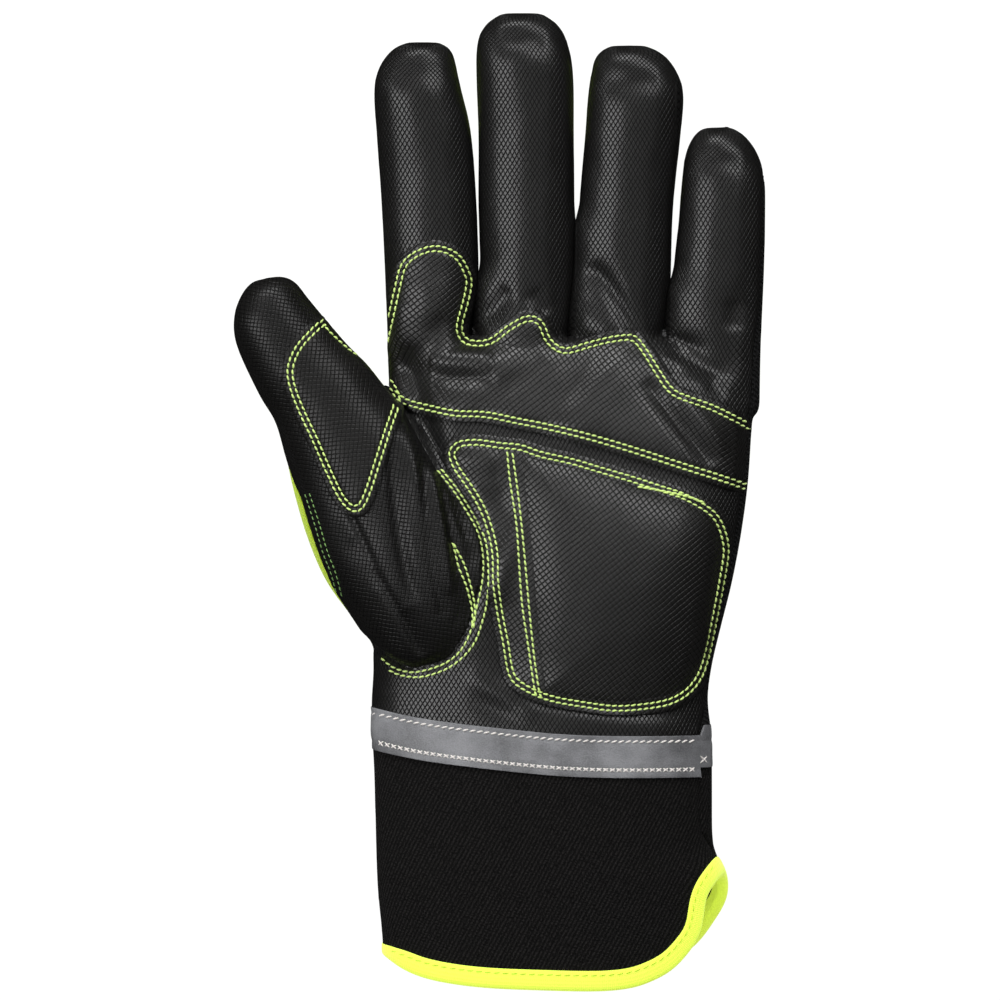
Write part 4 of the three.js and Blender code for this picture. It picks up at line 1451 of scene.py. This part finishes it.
@functools.cache
def single_stitch():
    """One arched stitch, two units long and two thick, with its length in its UV map."""
    bm = bmesh.new()
    bmesh.ops.create_uvsphere(bm, u_segments=6, v_segments=6, radius=1)
    bmesh.ops.transform(bm, verts=bm.verts, matrix=Matrix.Rotation(math.pi / 2, 4, "Y"))
    layer = bm.loops.layers.uv.new("grain")
    for face in bm.faces:
        for corner in face.loops:
            corner[layer].uv = corner.vert.co.xy
    for vert in bm.verts:
        vert.co.z -= vert.co.x ** 2
    mesh = bpy.data.meshes.new("stitch")
    bm.to_mesh(mesh)
    bm.free()
    return mesh


def add_stitches(joined, ends, thread, slant=10, fill=0.98, proud=0.35):
    """Stitches between neighbouring landed points, sunk at both ends."""
    placed = bpy.data.meshes.new("placed")
    for start, end in zip(ends, ends[1:]):
        if start is None or end is None:
            continue
        along = end[0] - start[0]
        if along.length > LONGEST * sizes().stitch or along.length < SHORTEST * sizes().stitch:
            continue
        normal = (start[1] + end[1]).normalized()
        forward = (along - normal * along.dot(normal)).normalized()
        forward.rotate(Matrix.Rotation(math.radians(slant), 3, normal))
        side = normal.cross(forward)
        turn = Matrix((forward, side, normal)).transposed().to_4x4()
        half = along.length * fill / 2
        middle = (start[0] + end[0]) / 2 + normal * thread * (proud - 0.1)
        size = Matrix.Diagonal((half, thread / 2, thread / 2, 1))
        bm = bmesh.new()
        bm.from_mesh(single_stitch())
        bmesh.ops.transform(bm, verts=bm.verts, matrix=Matrix.Translation(middle) @ turn @ size)
        bm.to_mesh(placed)
        bm.free()
        joined.from_mesh(placed)
    bpy.data.meshes.remove(placed)


def beside(tree, line):
    """A line in space, moved onto the nearest surface: points and normals in the frame's metres."""
    result = []
    for point in line:
        spot, normal, _, _ = tree.find_nearest(TO_FRAME @ Vector(point))
        result.append((spot, normal))
    return result


def add_seam(name, lines, material, slot, tree, pitch=None, thread=None, land=landed, **how):
    """One piece with all stitches of some rows."""
    bm = bmesh.new()
    step = (pitch or sizes().stitch) / MM
    for line in lines:
        add_stitches(bm, land(tree, evenly(np.array(line), step)), thread or sizes().thread, **how)
    mesh = bpy.data.meshes.new(name)
    bm.to_mesh(mesh)
    bm.free()
    added(mesh, name, [material])


def open_lines(rows):
    """Curves through the corners of rows that don't close."""
    return [smooth_line(row, closed=False) for row in rows]


# Operators

class GLOVE_OT_hand(bpy.types.Operator):
    """Adds the palm, the back, the strips between the fingers and the strip along the side"""

    bl_idname = "glove.hand"
    bl_label = "Hand Panels"

    def execute(self, context):
        wall = sizes().wall
        lies = regions()
        x, y, _ = panels().centres.T
        outer = x > little_finger_border(y) - 1
        add_panel("palm_leather", lies["hand"] & lies["front"], palm_leather(), wall,
                  ["palm_panel"])
        add_panel("back_knit", lies["hand"] & lies["below_strip"], knit_material(),
                  wall, ["back_panel"])
        add_panel("side_strip", lies["hand"] & ~lies["below_strip"] & lies["back"] & outer,
                  stretch_material(), wall, ["back_panel"])
        for name, (first, second, _) in STRIPS.items():
            beside = (x > at(FINGERS[first], "x", y)) & (x < at(FINGERS[second], "x", y))
            add_panel("strip_" + name, lies["hand"] & beside & ~lies["front"] & ~lies["back"],
                      stretch_material(), wall, ["fourchette_" + name])
        return {"FINISHED"}


class GLOVE_OT_thumb(bpy.types.Operator):
    """Adds the thumb's leather front and its bright back"""

    bl_idname = "glove.thumb"
    bl_label = "Thumb"

    def execute(self, context):
        lies = regions()
        add_panel("thumb_leather", lies["thumb"] & lies["thumb_front"], thumb_leather(),
                  sizes().wall, ["thumb_front"])
        add_panel("thumb_knit", lies["thumb"] & ~lies["thumb_front"], knit_material(),
                  sizes().wall, ["thumb_back"])
        return {"FINISHED"}


class GLOVE_OT_patches(bpy.types.Operator):
    """Adds the leather sewn on the palm and thumb, and the pad at the heel of the hand"""

    bl_idname = "glove.patches"
    bl_label = "Sewn Patches"

    def execute(self, context):
        thick = sizes().patch / MM
        palm = sewn_field(PALM_PATCH)
        add_layer("upper_patch", lambda p: np.minimum(palm(p), -gusset_field(p) - 0.2), thick,
                  patch_lift(PALM_PATCH), patch_leather(), ["palm_patch"])
        add_layer("thumb_grip", sewn_field(THUMB_PATCH), thick, patch_lift(THUMB_PATCH),
                  thumb_patch_leather(), ["thumb_patch"])
        heel = sewn_field(HEEL_PATCH)
        add_layer("heel_grip", lambda p: np.minimum(heel(p), -pad_field(p)), thick,
                  patch_lift(HEEL_PATCH), patch_leather(), ["heel_patch"])

        def swell(points):
            rise = sizes().pad / MM * (1 - np.exp(-np.maximum(pad_field(points), 0) / PAD_SLOPE))
            return PAD_LIFT + rise

        pad = add_layer("heel_cushion", pad_field, thick, swell, patch_leather(),
                        ["heel_pad"])
        return {"FINISHED"}


class GLOVE_OT_cuff(bpy.types.Operator):
    """Adds the cuff's front and back"""

    bl_idname = "glove.cuff"
    bl_label = "Cuff"

    def execute(self, context):
        lies = regions()
        add_panel("cuff_palm_side", lies["cuff"] & lies["front"], softshell_material(),
                  sizes().cuff_wall, ["cuff_front"])
        add_panel("cuff_back_side", lies["cuff"] & ~lies["front"], softshell_material(),
                  sizes().cuff_wall, ["cuff_back"])
        return {"FINISHED"}


def hem_loop():
    """The cuff's edge along the hem and round the slit, as ordered points."""
    edge_of_cuff = panels().part(regions()["cuff"])
    rims = [edge for edge in edge_of_cuff.edges if edge.is_boundary]
    middle = np.array([(edge.verts[0].co + edge.verts[1].co) / 2 for edge in rims])
    low = [edge for edge, far in zip(rims, cuff_field(middle) < -1) if far]
    neighbours = {}
    for edge in low:
        for vert in edge.verts:
            neighbours.setdefault(vert, []).append(edge)
    start = low[0]
    vert, edge = start.verts[0], start
    loop = []
    while True:
        loop.append(vert.co.copy())
        vert = edge.other_vert(vert)
        following = [other for other in neighbours[vert] if other is not edge]
        if not following or following[0] is start:
            break
        edge = following[0]
    loop.append(vert.co.copy())
    edge_of_cuff.free()
    return np.array(loop)


def drawn_even(ring, times):
    """Values round a ring, each drawn towards its neighbours."""
    for _ in range(times):
        ring = (np.roll(ring, 1, axis=0) + 2 * ring + np.roll(ring, -1, axis=0)) / 4
    return ring


def binding_profile():
    """The folded tape cut across: distance from the edge into the cuff, height over its outer side."""
    wall, leg = sizes().cuff_wall / MM, sizes().binding / MM
    reach = sizes().binding_width / MM
    outer = [(reach, 0.1), (reach, leg * 0.7), (reach - 0.5, leg), (reach / 2, leg), (0.6, leg),
             (-0.3, leg * 0.7), (-0.8, -0.2)]
    inner = [(-0.8, 0.2 - wall), (-0.3, -wall - leg * 0.7), (0.6, -wall - leg),
             (reach / 2, -wall - leg), (reach - 0.5, -wall - leg), (reach, -wall - leg * 0.7),
             (reach, -wall - 0.1), (reach / 2, -wall - 0.1), (0.4, -wall - 0.1), (0.4, 0.1),
             (reach / 2, 0.1)]
    return outer + inner


def binding_grid(loop, profile):
    """The tape's points: its profile at every station of the hem, laid on the glove's surface."""
    tree = BVHTree.FromBMesh(skin())
    ahead = np.roll(loop, -2, axis=0) - np.roll(loop, 2, axis=0)
    grid = np.zeros((len(loop), len(profile), 3))
    for i, (point, forward) in enumerate(zip(loop, ahead)):
        station = Vector(point)
        _, normal, _, _ = tree.find_nearest(station)
        into = normal.cross(Vector(forward).normalized()).normalized()
        probe = np.array([point + np.array(into) * 2])
        if hem_field(probe)[0] < 0:
            into = -into
        narrow = NARROWEST + WIDENING * smoothstep(station.x, -51, -44)
        for k, (far, height) in enumerate(profile):
            far *= narrow
            spot, up = station + into * far, normal
            if far > 0:
                spot, up, _, _ = tree.find_nearest(spot)
            grid[i, k] = spot + up * height
    return drawn_even(grid, 3)


class GLOVE_OT_binding(bpy.types.Operator):
    """Adds the bright tape folded over the hem and round the slit"""

    bl_idname = "glove.binding"
    bl_label = "Hem Binding"

    def execute(self, context):
        edge = hem_loop()
        loop = drawn_even(evenly(np.vstack([edge, edge[:1]]), STATION)[:-1], 6)
        profile = binding_profile()
        grid = binding_grid(loop, profile)
        count, turns = len(loop), len(profile)
        travelled = np.arange(count + 1) * STATION

        def place(turn, row):
            return grid[row % count, np.rint(turn * turns).astype(int) % turns]

        tape = wrapped(turns, count + 1, place, ends=False)
        near = {}
        for i in range(count):
            for k in range(turns):
                near[tuple(np.round(grid[i, k], 3))] = (travelled[i], k * CORNER)

        def spread(points):
            return np.array([near.get(tuple(np.round(p, 3)), (0, 0)) for p in points])

        piece = finished(tape, "binding", [binding_material()], ["hem_binding"],
                         uv=spread)
        self.close_pattern(piece.data, (travelled[-1], turns * CORNER))
        smooth = piece.modifiers.new("smooth", "SUBSURF")
        smooth.levels = 1
        smooth.render_levels = 1
        row = grid[:, 2] * 0.6 + grid[:, 3] * 0.4
        surface = visible_top(["binding"])
        add_seam("stitches_binding", [np.vstack([row, row[:1]])],
                 thread_material("tonal thread", "tonal_thread"), "bright_binding", surface,
                 pitch=2.5 * MM, thread=0.36 * MM, land=beside, slant=8, fill=0.8)
        return {"FINISHED"}

    def close_pattern(self, mesh, spans):
        """Carries the weave across the places where it comes round to its start."""
        uv = mesh.uv_layers["grain"].data
        for face in mesh.polygons:
            for axis, span in enumerate(spans):
                values = [uv[i].uv[axis] for i in face.loop_indices]
                if max(values) - min(values) > span / 2:
                    for i in face.loop_indices:
                        if uv[i].uv[axis] < span / 2:
                            uv[i].uv[axis] += span


class GLOVE_OT_band(bpy.types.Operator):
    """Adds the reflective band, in two lengths that meet at the side seams"""

    bl_idname = "glove.band"
    bl_label = "Reflective Band"

    def execute(self, context):
        def strip(step):
            def field(points):
                shift = step * smoothstep(points[:, 0], 0, 40)
                off = cuff_field(points) * BAND_SLANT - shift
                return BAND_WIDTH / 2 - np.abs(off)

            return field

        def front(points):
            return np.minimum(strip(0)(points), front_field(points))

        def back(points):
            return np.minimum(strip(BAND_STEP)(points), -front_field(points))

        def lift(points):
            off = cuff_field(points)
            wrinkle = np.array([noise.noise(Vector((x / 9, y / 5, z / 9))) for x, y, z in points])
            rows = sum(np.exp(-(((off - at_row) / 0.8) ** 2)) for at_row in BAND_ROWS)
            return 0.2 + 0.2 * wrinkle - 0.15 * rows

        thick = sizes().tape / MM
        add_layer("band_palm_side", front, thick, lift, tape_material(),
                  ["reflective_band_front"])
        add_layer("band_back_side", back, thick, lift, tape_material(),
                  ["reflective_band_back"])
        return {"FINISHED"}


class GLOVE_OT_stitching(bpy.types.Operator):
    """Adds every row of stitches"""

    bl_idname = "glove.stitching"
    bl_label = "Stitching"

    def execute(self, context):
        tree = visible_top(OUTER_PIECES)
        bright = thread_material("bright thread", "thread")
        upper = row_lines(PATCH_LOWER_EDGE, ROWS, closed=False)
        upper += row_lines(PATCH_UPPER_EDGE, ROWS, closed=False)
        for name, lines in (
            ("stitches_upper", upper),
            ("stitches_thumb", row_lines(THUMB_PATCH, ROWS)),
            ("stitches_heel", row_lines(HEEL_PATCH[::-1], ROWS)),
            ("stitches_divider", open_lines(DIVIDER_ROWS)),
            ("stitches_gusset", open_lines(GUSSET_ROWS + DART_ROWS)),
        ):
            add_seam(name, lines, bright, "bright_binding", tree)
        add_seam("stitches_sewn_over", open_lines([SEWN_OVER]), bright, "bright_binding", tree,
                 pitch=1.6 * MM, thread=0.75 * MM, slant=6, fill=1.25)
        green = thread_material("green thread", "edge_thread", sunk=0.5)
        add_seam("stitches_thumb_side", open_lines(THUMB_SIDE_ROWS), green, "bright_binding", tree,
                 pitch=1.6 * MM, thread=0.34 * MM, fill=0.8)
        cream = thread_material("cream thread", "band_thread", sunk=0.5)
        upper, lower = [], []
        for low, high, step in BAND_SPANS:
            x = np.linspace(low, high, 90)
            middle = line_height(BAND_LINE, x) + step
            upper.append(np.column_stack([x, middle + BAND_ROWS[0]]))
            lower.append(np.column_stack([x, middle + BAND_ROWS[1]]))
        add_seam("stitches_band", upper, cream, "reflective_tape", tree, pitch=2.0 * MM,
                 thread=0.6 * MM, slant=20, fill=1.0)
        for name, slant in (("left", 32), ("right", -32)):
            add_seam("band_chain_" + name, lower, cream, "reflective_tape", tree, pitch=1.9 * MM,
                     thread=0.55 * MM, slant=slant, fill=1.1)

        y = np.linspace(*OVERLOCK, 200)
        edge = np.column_stack([right_edge(y), y, seam_height(y)])
        edge += np.column_stack([1 + 0 * y, 0 * y, side_rise(edge)])
        add_seam("overlocked_edge", [edge], stretch_material(), "stretch_fabric", tree,
                 pitch=1.9 * MM, thread=1.1 * MM, land=beside, slant=20, fill=1.1, proud=0.0)
        return {"FINISHED"}


class GLOVE_OT_stage(bpy.types.Operator):
    """Adds the pale floor, the soft lights and the camera straight above the glove"""

    bl_idname = "glove.stage"
    bl_label = "Stage"

    def execute(self, context):
        bm = bmesh.new()
        bmesh.ops.create_grid(bm, x_segments=1, y_segments=1, size=FLOOR_HALF)
        mesh = bpy.data.meshes.new("floor")
        bm.to_mesh(mesh)
        bm.free()
        nodes = Nodes("white floor")
        nodes.set(Base_Color=(0.1, 0.1, 0.1, 1), Roughness=0.9, Specular_IOR_Level=0.1,
                  Emission_Color=(1, 1, 1, 1), Emission_Strength=studio().floor_glow)
        mesh.materials.append(nodes.material)
        floor = bpy.data.objects.new("floor", mesh)
        context.scene.collection.objects.link(floor)
        floor.visible_glossy = False

        for name, (place, size) in LIGHTS.items():
            self.soft_box(context, name, getattr(studio(), name), place, size)
        world = bpy.data.worlds.new("pale room")
        world.use_nodes = True
        background = world.node_tree.nodes["Background"]
        background.inputs["Color"].default_value = (1, 1, 1, 1)
        background.inputs["Strength"].default_value = studio().sky
        context.scene.world = world
        context.scene.view_settings.view_transform = "Standard"

        camera = bpy.data.cameras.new("camera")
        camera.sensor_width = 36
        camera.lens = camera.sensor_width * (studio().distance - FRAMED_HEIGHT) / studio().width
        camera.clip_end = 20
        eye = bpy.data.objects.new("camera", camera)
        eye.location = (*CAMERA_PLACE, studio().distance)
        context.scene.collection.objects.link(eye)
        context.scene.camera = eye
        return {"FINISHED"}

    def soft_box(self, context, name, power, place, size):
        light = bpy.data.lights.new(name, "AREA")
        light.energy = power
        light.shape = "RECTANGLE"
        light.size, light.size_y = size
        lamp = bpy.data.objects.new(name, light)
        lamp.location = place
        lamp.rotation_euler = (-Vector(place)).to_track_quat("-Z", "Y").to_euler()
        context.scene.collection.objects.link(lamp)


class GLOVE_PT_panel(bpy.types.Panel):
    """Lists the glove's pieces, sizes and colours"""

    bl_label = "Mechanic Glove"
    bl_space_type = "VIEW_3D"
    bl_region_type = "UI"
    bl_category = "Glove"

    def draw(self, context):
        layout = self.layout
        for operator in PIECES:
            layout.operator(operator.bl_idname)
        for group in (sizes(), colours(), studio()):
            box = layout.box()
            for name in group.__annotations__:
                box.prop(group, name)


PIECES = (
    GLOVE_OT_hand, GLOVE_OT_thumb, GLOVE_OT_patches, GLOVE_OT_cuff, GLOVE_OT_binding, GLOVE_OT_band,
    GLOVE_OT_stitching, GLOVE_OT_stage,
)
CLASSES = (GloveSizes, GloveColours, GloveStudio, *PIECES, GLOVE_PT_panel)


def register():
    for cls in CLASSES:
        bpy.utils.register_class(cls)
    bpy.types.Scene.glove_sizes = PointerProperty(type=GloveSizes)
    bpy.types.Scene.glove_colours = PointerProperty(type=GloveColours)
    bpy.types.Scene.glove_studio = PointerProperty(type=GloveStudio)


def unregister():
    del bpy.types.Scene.glove_sizes
    del bpy.types.Scene.glove_colours
    del bpy.types.Scene.glove_studio
    for cls in reversed(CLASSES):
        bpy.utils.unregister_class(cls)


def main():
    register()
    bpy.ops.glove.hand()
    bpy.ops.glove.thumb()
    bpy.ops.glove.patches()
    bpy.ops.glove.cuff()
    bpy.ops.glove.binding()
    bpy.ops.glove.band()
    bpy.ops.glove.stitching()
    bpy.ops.glove.stage()


if __name__ == "__main__":
    main()
